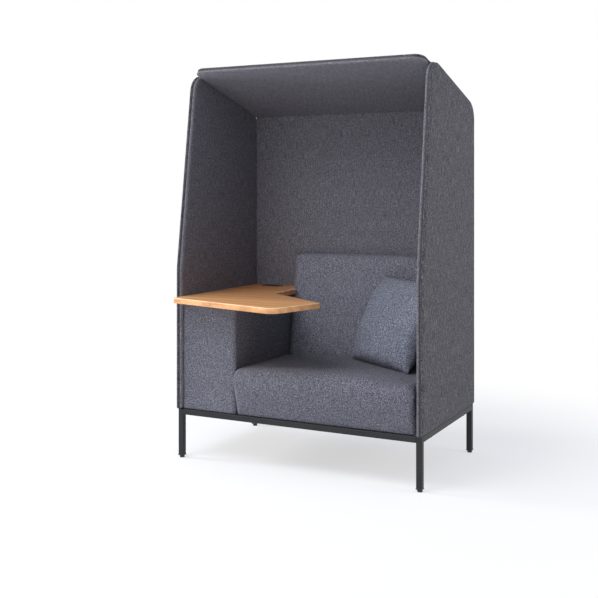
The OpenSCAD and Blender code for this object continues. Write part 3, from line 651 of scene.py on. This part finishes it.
def add_panels(lining, shell):
    """The pads: the lining faces the sitter, and the shell faces out."""
    jobs = [
        ("right_outer", SIDE_CORNERS, on_right, False, "right_panel_outer_pad"),
        ("right_inner", SIDE_CORNERS, on_right, True, "right_panel_inner_pad"),
        ("left_inner", SIDE_CORNERS, on_left, False, "left_panel_inner_pad"),
        ("left_outer", SIDE_CORNERS, on_left, True, "left_panel_outer_pad"),
        ("back_inner", BACK_CORNERS, on_back, False, "back_panel_inner_pad"),
        ("back_outer", BACK_CORNERS, on_back, True, "back_panel_outer_pad"),
        ("roof_upper", ROOF_CORNERS, on_roof, False, "roof_upper_pad"),
        ("roof_lower", ROOF_CORNERS, on_roof, True, "roof_lower_pad")]
    for seed, (name, corners, place, flip, node) in enumerate(jobs, 1):
        cloth = shell if name.endswith(("outer", "upper")) else lining
        grooved = name in GROOVED
        open_seam = corners is not BACK_CORNERS
        closed_from = CLOSED_FROM.get(name)
        piece = pad(name + "_fabric", corners, place, flip, seed, cloth, open_seam, grooved, closed_from)
        dress(piece, node)


# Seat and backrest: a side profile run along X, closed by end faces

SEAT_X0, SEAT_X1 = span("seat_cushion", 0)
SEAT_END_R = 27 * MM
BACK_END_R = 30 * MM
END_STEPS = 8
BLOCK_SPACING = 10 * MM
RUN_SPACING = 16 * MM
CAP_SHARES = (0.15, 0.35, 0.55, 0.75, 0.9)


def foot_down(z, inset, end_r):
    """A block's rounded end stays full at the foot, so its lowest points go down by the inset again."""
    above = z - FOOT_Z - inset
    reach = 2 * end_r
    return z if above >= reach else FOOT_Z + above * (reach + inset) / reach


def block(name, corners, end_r, shape, seed, material):
    """An upholstered block. shape moves a point (x, y, z) to its place."""
    x0, x1 = SEAT_X0, SEAT_X1
    length = x1 - x0 - 2 * end_r
    run = round(length / RUN_SPACING)
    stations = []
    for step in range(END_STEPS + 1):
        a = math.pi / 2 * step / END_STEPS
        stations.append((x0 + end_r * (1 - math.cos(a)), end_r * (1 - math.sin(a))))
    middle_run = [(x0 + end_r + length * k / run, 0.0) for k in range(1, run)]
    mirrored = [(x0 + x1 - x, inset) for x, inset in reversed(stations)]
    stations = stations + middle_run + mirrored
    first = outline(corners, BLOCK_SPACING, end_r)
    centre = sum(first, Vector((0, 0))) / len(first)
    rings = [[(x0, *(centre + (p - centre) * share)) for p in first] for share in CAP_SHARES]
    for x, inset in stations:
        ring = outline(corners, BLOCK_SPACING, inset)
        rings.append([(x, p.x, foot_down(p.y, inset, end_r)) for p in ring])
    rings += [[(x1, *(centre + (p - centre) * share)) for p in first] for share in reversed(CAP_SHARES)]
    base = outline(corners, BLOCK_SPACING)
    travel = [0.0]
    for here, after in zip(base, base[1:] + base[:1]):
        travel.append(travel[-1] + (after - here).length)
    made, places = [], []
    for index, ring in enumerate(rings):
        cap = index < len(CAP_SHARES) or index >= len(rings) - len(CAP_SHARES)
        made.append([shape(Vector(point)) for point in ring])
        if cap:
            places.append([(p[1] + seed, p[2]) for p in ring] + [(ring[0][1] + seed, ring[0][2])])
        else:
            places.append([(ring[0][0] + seed, s) for s in travel])
    return ring_mesh(name, made, places, material)


SEAT_BACK_Y = span("seat_cushion", 1)[1]
SEAT_D = 482 * MM
SEAT_FRONT_Y = SEAT_BACK_Y - SEAT_D
SEAT_FRONT_Z = 418 * MM
SEAT_REAR_Z = 414 * MM
SEAT_CROWN = 12 * MM
SEAT_LEAN = 57 * MM
SEAT_NOSE_R = 45 * MM
NOSE_DEPTH = 120 * MM
BELLY = 3 * MM
# Waves: size, seed and height
SEAT_TOP_WAVE = (190 * MM, 11, 1.6 * MM)
SEAT_TOP_FINE_WAVE = (70 * MM, 12, 0.5 * MM)
SEAT_FRONT_WAVE = (150 * MM, 13, 1.5 * MM)
SEAT_CORNERS = [
    (SEAT_FRONT_Y, FOOT_Z, 6 * MM),
    (SEAT_BACK_Y, FOOT_Z, 6 * MM),
    (SEAT_BACK_Y, SEAT_REAR_Z, 18 * MM),
    (SEAT_FRONT_Y + 0.3 * SEAT_D, SEAT_FRONT_Z, 180 * MM),
    (SEAT_FRONT_Y - SEAT_LEAN, SEAT_FRONT_Z, SEAT_NOSE_R)]


def across(x):
    """1 half way along the seat, falling to 0 at its ends."""
    mid, half = (SEAT_X0 + SEAT_X1) / 2, (SEAT_X1 - SEAT_X0) / 2
    return max(0.0, 1 - ((x - mid) / half) ** 2)


def seat_shape(point):
    """Crowned top, a slightly puffed front, and the unevenness of stuffed fabric."""
    bow = across(point.x)
    share = max(0.0, (point.z - FOOT_Z) / (SEAT_FRONT_Z - FOOT_Z))
    place = point.copy()
    place.z += SEAT_CROWN * bow * share ** 2
    place.z += (wave(point, *SEAT_TOP_WAVE) + wave(point, *SEAT_TOP_FINE_WAVE)) * share ** 2
    front = max(0.0, 1 - (point.y - SEAT_FRONT_Y + SEAT_LEAN) / NOSE_DEPTH)
    belly = math.sin(math.pi * min(1.0, share))
    place.y -= front * belly * (BELLY * math.sqrt(bow) + wave(point, *SEAT_FRONT_WAVE))
    return place


BACK_FOOT_Y, BACK_REAR_Y = span("backrest_cushion", 1)
BACK_HEAD_Y = BACK_FOOT_Y + 70 * MM
BACK_TOP_Z = 882 * MM
BACK_CROWN = 5 * MM
FACE_DEPTH = 110 * MM
FACE_BULGE = 1.5 * MM
BACK_TOP_WAVE = (160 * MM, 21, 1 * MM)
BACK_FACE_WAVE = (210 * MM, 22, 1.4 * MM)
BACKREST_CORNERS = [
    (BACK_FOOT_Y, FOOT_Z, 6 * MM),
    (BACK_REAR_Y, FOOT_Z, 6 * MM),
    (BACK_REAR_Y, BACK_TOP_Z, 15 * MM),
    (BACK_HEAD_Y, BACK_TOP_Z, 30 * MM),
    (BACK_FOOT_Y, SEAT_REAR_Z, 180 * MM)]


def backrest_shape(point):
    """Bowed top edge and a face that swells a little between its edges."""
    bow = across(point.x)
    rise = max(0.0, (point.z - FOOT_Z) / (BACK_TOP_Z - FOOT_Z))
    place = point.copy()
    place.z += (BACK_CROWN * bow + wave(point, *BACK_TOP_WAVE)) * rise ** 4
    face = max(0.0, 1 - (point.y - BACK_FOOT_Y) / FACE_DEPTH)
    bulge = math.sin(math.pi * min(1.0, rise)) * math.sqrt(bow)
    place.y -= face * (FACE_BULGE * bulge + wave(point, *BACK_FACE_WAVE))
    return place


PUFF_PRESSURE = 2.0
PUFF_FRAMES = 12
PUFF_CAP = 4 * MM
PUFF_HELD = 24 * MM
PUFF_FREE = 90 * MM


def puff(piece, rear_y):
    """Swells a block's face and top, and holds it at its ends, its foot and its rear."""
    holds = []
    for vertex in piece.data.vertices:
        x, y, z = vertex.co
        free = min(x - SEAT_X0, SEAT_X1 - x, z - FOOT_Z, rear_y - y)
        holds.append(1 - min(1.0, max(0.0, (free - PUFF_HELD) / (PUFF_FREE - PUFF_HELD))))
    swell(piece, PUFF_PRESSURE, PUFF_FRAMES, PUFF_CAP, holds)


def add_seat(fabric, back_fabric_painted_light):
    seat = block("seat_fabric", SEAT_CORNERS, SEAT_END_R, seat_shape, 31, fabric)
    puff(seat, SEAT_BACK_Y)
    dress(seat, "seat_cushion")
    # The backrest wears the lighter cloth, whose extra brightness is painted light.
    back = block("backrest_fabric", BACKREST_CORNERS, BACK_END_R, backrest_shape, 37, back_fabric_painted_light)
    puff(back, BACK_REAR_Y)
    dress(back, "backrest_cushion")


# Side box cover: padding round the front and the right face

BOX_X0 = -X_IN + SNUG
BOX_X1 = span("side_box_cover", 0)[1]
BOX_Y0, BOX_Y1 = span("side_box_cover", 1)
BOX_TOP_Z = span("side_box_cover", 2)[1]
BOX_PAD_T = 12 * MM
BOX_CORNER_R = 16 * MM
BOX_REAR_R = BOX_PAD_T + 1 * MM
BOX_END_R = 4 * MM
BOX_ROLL_R = 5 * MM
BOX_ROW = 14 * MM
BOX_SPACING = 12 * MM
BOX_SLACK = 0.8 * MM
BOX_WAVE = (170 * MM, 41, BOX_SLACK)
ROUND_STEPS = 5


def rounding(radius):
    """(inset, height) over a rounded edge, from below."""
    angles = [math.pi / 2 * step / ROUND_STEPS for step in range(ROUND_STEPS + 1)]
    return [(radius * (1 - math.sin(a)), radius * (1 - math.cos(a))) for a in angles]


def add_box_cover(fabric):
    """A wall of cloth and padding that follows the plan outline, with edges rolled in above and below."""
    height = BOX_TOP_Z - FOOT_Z
    edge = rounding(BOX_ROLL_R)
    upright = round(height / BOX_ROW)
    wall = [(0.0, BOX_ROLL_R + (height - 2 * BOX_ROLL_R) * k / upright) for k in range(1, upright)]
    above = [(inset, height - z) for inset, z in reversed(edge)]
    profile = [(BOX_PAD_T, 0.0)] + edge + wall + above + [(BOX_PAD_T, height)]
    corners = [
        (BOX_X0, BOX_Y0, BOX_END_R),
        (BOX_X1, BOX_Y0, BOX_CORNER_R),
        (BOX_X1, BOX_Y1, BOX_REAR_R),
        (BOX_X0, BOX_Y1, BOX_REAR_R)]
    rings, places = [], []
    base = outline(corners, BOX_SPACING)
    travel = [0.0]
    for here, after in zip(base, base[1:] + base[:1]):
        travel.append(travel[-1] + (after - here).length)
    for inset, z in profile:
        ring = []
        for p in outline(corners, BOX_SPACING, inset):
            point = Vector((p.x, p.y, FOOT_Z + z))
            sag = wave(point, *BOX_WAVE) - BOX_SLACK if inset < BOX_ROLL_R else 0.0
            if p.y < BOX_Y0 + BOX_PAD_T:
                point.y -= sag
            elif p.x > BOX_X1 - BOX_PAD_T:
                point.x += sag
            ring.append(point)
        rings.append(ring)
        places.append([(s + 43, z) for s in travel])
    cover = ring_mesh("side_box_fabric", rings, places, fabric, close_ends=False)
    dress(cover, "side_box_cover")


# Pillow

PILLOW_SIZE = Vector((412, 412, 128)) * MM
PILLOW_CUT = 430 * MM
PILLOW_TURN = math.radians(31)
PILLOW_LEAN = math.radians(26)
PILLOW_ROLL = math.radians(-1.2)
PILLOW_CELLS = 52
PILLOW_LIFT = 12 * MM
PILLOW_SLACK = 0.35
PILLOW_PRESSURE = 6.0
PILLOW_FRAMES = 10
PILLOW_SEAM = 1.6 * MM
PILLOW_SIDES = ((0.9, 0.9), (0.95, 0.6))
PILLOW_EAR = 7 * MM
EAR_POWER = 5


def pillow_matrix():
    """From the pillow's own frame, flat with its face up, to its place in the corner."""
    low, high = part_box("pillow")
    place = Matrix.Translation((Vector(low) + Vector(high)) / 2)
    turn = Matrix.Rotation(-PILLOW_TURN, 4, "Z") @ Matrix.Rotation(math.pi / 2 - PILLOW_LEAN, 4, "X")
    return place @ turn @ Matrix.Rotation(PILLOW_ROLL, 4, "Z")


def straighten(mesh, rims):
    """Stretches the pillow's sides towards straight lines, with its puckers kept, and draws its corners out.

    rims holds the points of the low and the high side along each axis, and PILLOW_SIDES says how far towards
    straight each goes. The top side keeps its hollow.
    """
    ends = []
    for axis, pair in enumerate(rims):
        for side, rim in enumerate(pair):
            line = sorted((mesh.vertices[k].co[1 - axis], mesh.vertices[k].co[axis]) for k in rim)
            ends.append((axis, side, line))
    moved = [vertex.co.copy() for vertex in mesh.vertices]
    for axis, side, line in ends:
        reach = max(abs(away) for along, away in line)
        share = PILLOW_SIDES[axis][side]
        for vertex, place in zip(mesh.vertices, moved):
            away = vertex.co[axis] * (1 if side else -1)
            if away <= 0:
                continue
            nearest = min(line, key=lambda point: abs(point[0] - vertex.co[1 - axis]))
            place[axis] *= 1 + share * (reach / abs(nearest[1]) - 1)
    half = max(max(abs(place.x), abs(place.y)) for place in moved)
    for vertex, place in zip(mesh.vertices, moved):
        corner = (abs(place.x * place.y) / half ** 2) ** EAR_POWER
        vertex.co = place + Vector((place.x, place.y, 0)).normalized() * PILLOW_EAR * corner


def add_pillow(fabric):
    """Two square cloths sewn together at their rims, filled with air, and set in the corner."""
    bm = bmesh.new()
    layer = bm.loops.layers.uv.new("cloth")
    knots = {}
    for side in (1, -1):
        for i in range(PILLOW_CELLS + 1):
            for j in range(PILLOW_CELLS + 1):
                if side < 0 and (i in (0, PILLOW_CELLS) or j in (0, PILLOW_CELLS)):
                    knots[side, i, j] = knots[1, i, j]
                    continue
                u, v = 2 * i / PILLOW_CELLS - 1, 2 * j / PILLOW_CELLS - 1
                slack = 1 + PILLOW_SLACK * ripple(Vector((u, v, side)), 0.5, 51)
                lift = side * PILLOW_LIFT * (1 - u * u) * (1 - v * v) * slack
                knots[side, i, j] = bm.verts.new((PILLOW_CUT / 2 * u, PILLOW_CUT / 2 * v, lift))
    for side in (1, -1):
        for i in range(PILLOW_CELLS):
            for j in range(PILLOW_CELLS):
                keys = [(i, j), (i + 1, j), (i + 1, j + 1), (i, j + 1)]
                if side < 0:
                    keys.reverse()
                made = bm.faces.new([knots[side, a, b] for a, b in keys])
                for loop, (a, b) in zip(made.loops, keys):
                    loop[layer].uv = (a / PILLOW_CELLS * PILLOW_CUT + side, b / PILLOW_CELLS * PILLOW_CUT)
    mesh = bpy.data.meshes.new("pillow_fabric")
    bm.verts.index_update()
    steps = range(PILLOW_CELLS + 1)
    rims = [[[knots[1, end, j].index for j in steps] for end in (0, PILLOW_CELLS)],
            [[knots[1, i, end].index for i in steps] for end in (0, PILLOW_CELLS)]]
    rim = sorted({index for pair in rims for side in pair for index in side})
    bm.to_mesh(mesh)
    bm.free()
    pillow = smooth_object("pillow_fabric", mesh, fabric)
    swell(pillow, PILLOW_PRESSURE, PILLOW_FRAMES)
    straighten(mesh, rims)
    for index in rim:
        vertex = mesh.vertices[index]
        vertex.co += Vector((vertex.co.x, vertex.co.y, 0)).normalized() * PILLOW_SEAM
    low = Vector([min(vertex.co[axis] for vertex in mesh.vertices) for axis in range(3)])
    high = Vector([max(vertex.co[axis] for vertex in mesh.vertices) for axis in range(3)])
    fit = Matrix.Diagonal([want / (b - a) for want, a, b in zip(PILLOW_SIZE, low, high)]).to_4x4()
    mesh.transform(pillow_matrix() @ fit @ Matrix.Translation(-(low + high) / 2))
    smoother = pillow.modifiers.new("smooth", "SUBSURF")
    smoother.levels = smoother.render_levels = 1
    apply_modifiers(pillow)
    dress(pillow, "pillow", body="pillow")


# Tabletop

TABLE_Z = 720 * MM
TABLE_T = 24 * MM
TABLE_W = 662 * MM
TABLE_X0 = -X_IN + SNUG
TABLE_X1 = TABLE_X0 + TABLE_W
TABLE_REAR_Y = Y_REAR - PANEL_T - SNUG
TABLE_LEFT_Y = Y_FRONT - 68 * MM
TABLE_RIGHT_Y = TABLE_LEFT_Y - 158 * MM
TABLE_LAP = 34 * MM
NOTCH_X = BOX_X1 + TABLE_LAP
TABLE_CLEAR = 10 * MM
STEP_RISE = (TABLE_Z - TABLE_T - SEAT_REAR_Z) / (BACK_TOP_Z - SEAT_REAR_Z)
STEP_Y = BACK_FOOT_Y + (BACK_HEAD_Y - BACK_FOOT_Y) * STEP_RISE - TABLE_CLEAR
TABLE_CORNERS = [
    (TABLE_X0, TABLE_LEFT_Y, 16 * MM),
    (TABLE_X0 + 0.878 * TABLE_W, TABLE_RIGHT_Y, 45 * MM),
    (TABLE_X1, Y_FRONT + 0.071 * TABLE_W, 12 * MM),
    (NOTCH_X, Y_FRONT + 0.44 * BOOTH_D, 10 * MM),
    (NOTCH_X, STEP_Y, 10 * MM),
    (BOX_X1 - SNUG, STEP_Y, 5 * MM),
    (BOX_X1 - SNUG, TABLE_REAR_Y, 5 * MM),
    (TABLE_X0, TABLE_REAR_Y, 5 * MM)]
TABLE_EDGE_R = 3.5 * MM
TABLE_SPACING = 20 * MM
TABLE_SHARP = 40


def add_table(wood, arris_painted_highlight):
    """The top, with a second, paler wood on the upper half of its rounded edge: a painted highlight."""
    profile = rounding(TABLE_EDGE_R)
    profile += [(inset, TABLE_T - z) for inset, z in reversed(profile)]
    bm = bmesh.new()
    rows = []
    for inset, z in profile:
        points = outline(TABLE_CORNERS, TABLE_SPACING, inset)
        rows.append([bm.verts.new((p.x, p.y, TABLE_Z - TABLE_T + z)) for p in points])
    count = len(rows[0])
    for step, (low, high) in enumerate(zip(rows, rows[1:])):
        for k in range(count):
            made = bm.faces.new((low[k], low[(k + 1) % count], high[(k + 1) % count], high[k]))
            # Faces on the upper half of the edge take the paler wood, a painted highlight along the top edge.
            made.material_index = int(step > len(rows) // 2)
    bm.faces.new(rows[0][::-1])
    bm.faces.new(rows[-1])
    mesh = bpy.data.meshes.new("tabletop_wood")
    bm.to_mesh(mesh)
    bm.free()
    table = smooth_object("tabletop_wood", mesh, wood)
    mesh.materials.append(arris_painted_highlight)
    cut_box(table, "outlet_housing")
    shade_by_angle(table, TABLE_SHARP)
    dress(table, "tabletop")


CUT_CLEAR = 0.4 * MM
CUT_RISE = 0.2


def cut_box(piece, node):
    """Cuts an upright hole through a piece where a node passes, with a little room round it."""
    low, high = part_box(node)
    bm = bmesh.new()
    bmesh.ops.create_cube(bm, size=1.0)
    size = Vector(high) - Vector(low) + Vector((2 * CUT_CLEAR, 2 * CUT_CLEAR, CUT_RISE))
    bmesh.ops.scale(bm, vec=size, verts=bm.verts)
    bmesh.ops.translate(bm, vec=(Vector(low) + Vector(high)) / 2, verts=bm.verts)
    mesh = bpy.data.meshes.new("cutter")
    bm.to_mesh(mesh)
    bm.free()
    cutter = bpy.data.objects.new("cutter", mesh)
    bpy.context.scene.collection.objects.link(cutter)
    modifier = piece.modifiers.new("cut", "BOOLEAN")
    modifier.object = cutter
    modifier.solver = "EXACT"
    apply_modifiers(piece)
    bpy.data.objects.remove(cutter)


def apply_modifiers(piece):
    graph = bpy.context.evaluated_depsgraph_get()
    graph.update()
    made = bpy.data.meshes.new_from_object(piece.evaluated_get(graph))
    piece.modifiers.clear()
    old = piece.data
    piece.data = made
    bpy.data.meshes.remove(old)


def shade_by_angle(piece, degrees):
    """Smooth shading, but with sharp edges where faces meet at more than the angle."""
    bm = bmesh.new()
    bm.from_mesh(piece.data)
    limit = math.radians(degrees)
    for edge in bm.edges:
        if len(edge.link_faces) == 2:
            edge.smooth = edge.calc_face_angle() < limit
    for face in bm.faces:
        face.smooth = True
    bm.to_mesh(piece.data)
    bm.free()


# Finishes of the nodes that stay


def finish_nodes(finishes):
    """Gives each shown node the material of its slot."""
    slots = {row["node"]: row["material_slot"] for row in frame["record"]["subparts"]}
    for node, piece in frame["nodes"].items():
        material = finishes.get(slots.get(node))
        if material is None:
            continue
        piece.data.materials.clear()
        piece.data.materials.append(material)


# Light and surroundings


WHITE = (1.0, 1.0, 1.0)
AIM = (0.0, SHIFT_Y - 0.1, 0.8)
# Name, place, target, diameter, power and colour
LAMPS = (
    ("key", (-1.2, SHIFT_Y - 2.7, 4.3), AIM, 3.0, 116, WHITE),
    ("front", (-0.6, SHIFT_Y - 4.5, 1.7), AIM, 3.8, 34, WHITE),
    ("side", (4.3, SHIFT_Y + 0.5, 1.5), AIM, 2.0, 68, (1.0, 0.95, 0.9)),
    ("rim", (-3.9, SHIFT_Y - 0.95, 1.6), (0.5, SHIFT_Y - 0.35, 0.9), 1.0, 110, WHITE))


def add_area(name, place, target, size, power, color):
    data = bpy.data.lights.new(name, "AREA")
    data.color = color
    data.shape = "DISK"
    data.size = size
    data.energy = power
    light = bpy.data.objects.new(name, data)
    bpy.context.scene.collection.objects.link(light)
    light.location = place
    aim = Vector(target) - Vector(place)
    light.rotation_euler = aim.to_track_quat("-Z", "Y").to_euler()


FLOOR_REACH = 30.0
FLOOR_NEAR = 0.9
FLOOR_FAR = 2.2
FLOOR_WHITE = 0.55


def camera_like(tree):
    """1 on camera rays, and on reflected and transmitted ones, so that gloss and glass see the same white."""
    path = tree.nodes.new("ShaderNodeLightPath")
    names = ("Is Camera Ray", "Is Glossy Ray", "Is Transmission Ray")
    value = path.outputs[names[0]]
    for name in names[1:]:
        either = tree.nodes.new("ShaderNodeMath")
        either.operation = "MAXIMUM"
        tree.links.new(value, either.inputs[0])
        tree.links.new(path.outputs[name], either.inputs[1])
        value = either.outputs[0]
    return value


def add_floor():
    """A pale floor that keeps the booth's shadow and fades into the white background further out."""
    mesh = bpy.data.meshes.new("floor")
    corners = [(x * FLOOR_REACH, y * FLOOR_REACH, 0) for x, y in ((-1, -1), (1, -1), (1, 1), (-1, 1))]
    mesh.from_pydata(corners, [], [(0, 1, 2, 3)])
    floor = bpy.data.objects.new("floor", mesh)
    bpy.context.scene.collection.objects.link(floor)
    material, n = new_material("floor_white")
    n.finish(Base_Color=(0.9, 0.9, 0.9, 1), Roughness=0.95, Specular_IOR_Level=0.1)
    place = n.add("ShaderNodeNewGeometry").outputs["Position"]
    away = n.add("ShaderNodeVectorMath", {0: place}, operation="LENGTH").outputs["Value"]
    values = {"Value": away, "From Min": FLOOR_NEAR, "From Max": FLOOR_FAR, "To Min": FLOOR_WHITE}
    fade = n.add("ShaderNodeMapRange", values, interpolation_type="SMOOTHSTEP").outputs[0]
    white = n.add("ShaderNodeEmission", {"Color": (1, 1, 1, 1), "Strength": 1.0}).outputs[0]
    blend = n.add("ShaderNodeMixShader", {0: n.math("MULTIPLY", fade, camera_like(n.tree))})
    n.tree.links.new(n.shader.outputs[0], blend.inputs[1])
    n.tree.links.new(white, blend.inputs[2])
    n.tree.links.new(blend.outputs[0], n.tree.nodes["Material Output"].inputs["Surface"])
    mesh.materials.append(material)


AMBIENT = 0.52
SKY_COLOR = (0.76, 0.92, 1.24)
GROUND_COLOR = (1.2, 1.0, 0.84)


def add_world():
    """White where it is seen, and for the surfaces a dimmer light, cool from above and warm from below."""
    world = bpy.data.worlds.new("studio")
    bpy.context.scene.world = world
    world.use_nodes = True
    tree = world.node_tree
    background = tree.nodes["Background"]
    strength = tree.nodes.new("ShaderNodeMapRange")
    strength.inputs["To Min"].default_value = AMBIENT
    strength.inputs["To Max"].default_value = 1.0
    tree.links.new(camera_like(tree), strength.inputs["Value"])
    tree.links.new(strength.outputs[0], background.inputs["Strength"])
    n = Nodes(tree)
    way = n.add("ShaderNodeSeparateXYZ", {0: n.add("ShaderNodeTexCoord").outputs["Generated"]}).outputs["Z"]
    rise = n.add("ShaderNodeMapRange", {"Value": way, "From Min": -1.0}).outputs[0]
    tint = n.mix(rise, GROUND_COLOR, SKY_COLOR)
    tree.links.new(n.mix(camera_like(tree), tint, WHITE), background.inputs["Color"])


def main():
    bpy.context.scene.view_settings.view_transform = "Standard"
    add_camera()
    lining = fabric_material("lining_fabric", (105, 104, 110), contrast=0.52, slub=0.2, grain=0.8)
    shell = fabric_material("shell_fabric", (75, 74, 77), contrast=0.9, slub=0.3, grain=1.0)
    cover = fabric_material("cover_fabric", (93.5, 94, 101.5), contrast=0.76, slub=0.12, grain=0.6)
    # The backrest's cloth is the seat's cloth made lighter: painted light, for light that its face gets too
    # little of.
    back_cover_painted_light = fabric_material("backrest_fabric", (103, 103.5, 112), contrast=0.76, slub=0.14, grain=0.65)
    pillow_cloth = fabric_material("pillow_fabric", (104, 107, 117), contrast=0.84, slub=0.12, grain=0.55)
    wood = wood_material("beech", linear(224, 170, 114), linear(190, 132, 84), along=0, rear_color=REAR_TINT)
    # A paler copy of the beech for the top edge: painted highlight.
    arris_painted_highlight = wood_material("beech_arris_painted_highlight", linear(246, 212, 172), linear(232, 190, 146), along=0)
    add_panels(lining, shell)
    add_seat(cover, back_cover_painted_light)
    add_box_cover(cover)
    add_pillow(pillow_cloth)
    add_table(wood, arris_painted_highlight)
    plastic = plastic_material("black_plastic", linear(38, 38, 40), roughness=0.5)
    finish_nodes({
        "frame_coat": coat_material(),
        "black_plastic": plastic,
        "outlet_plastic": plastic,
        "socket_plastic": plastic_material("socket_plastic", linear(52, 52, 55), roughness=0.35),
        "plywood": wood_material("plywood", linear(205, 184, 148), linear(180, 154, 116), along=0),
        "core_board": wood_material("core_board", linear(44, 44, 46), linear(34, 34, 36), along=2),
        "zinc_steel": metal_material("zinc", linear(190, 192, 196), roughness=0.3),
        "contact_brass": metal_material("brass", linear(205, 165, 90), roughness=0.25)})
    add_floor()
    add_world()
    for lamp in LAMPS:
        add_area(*lamp)


main()
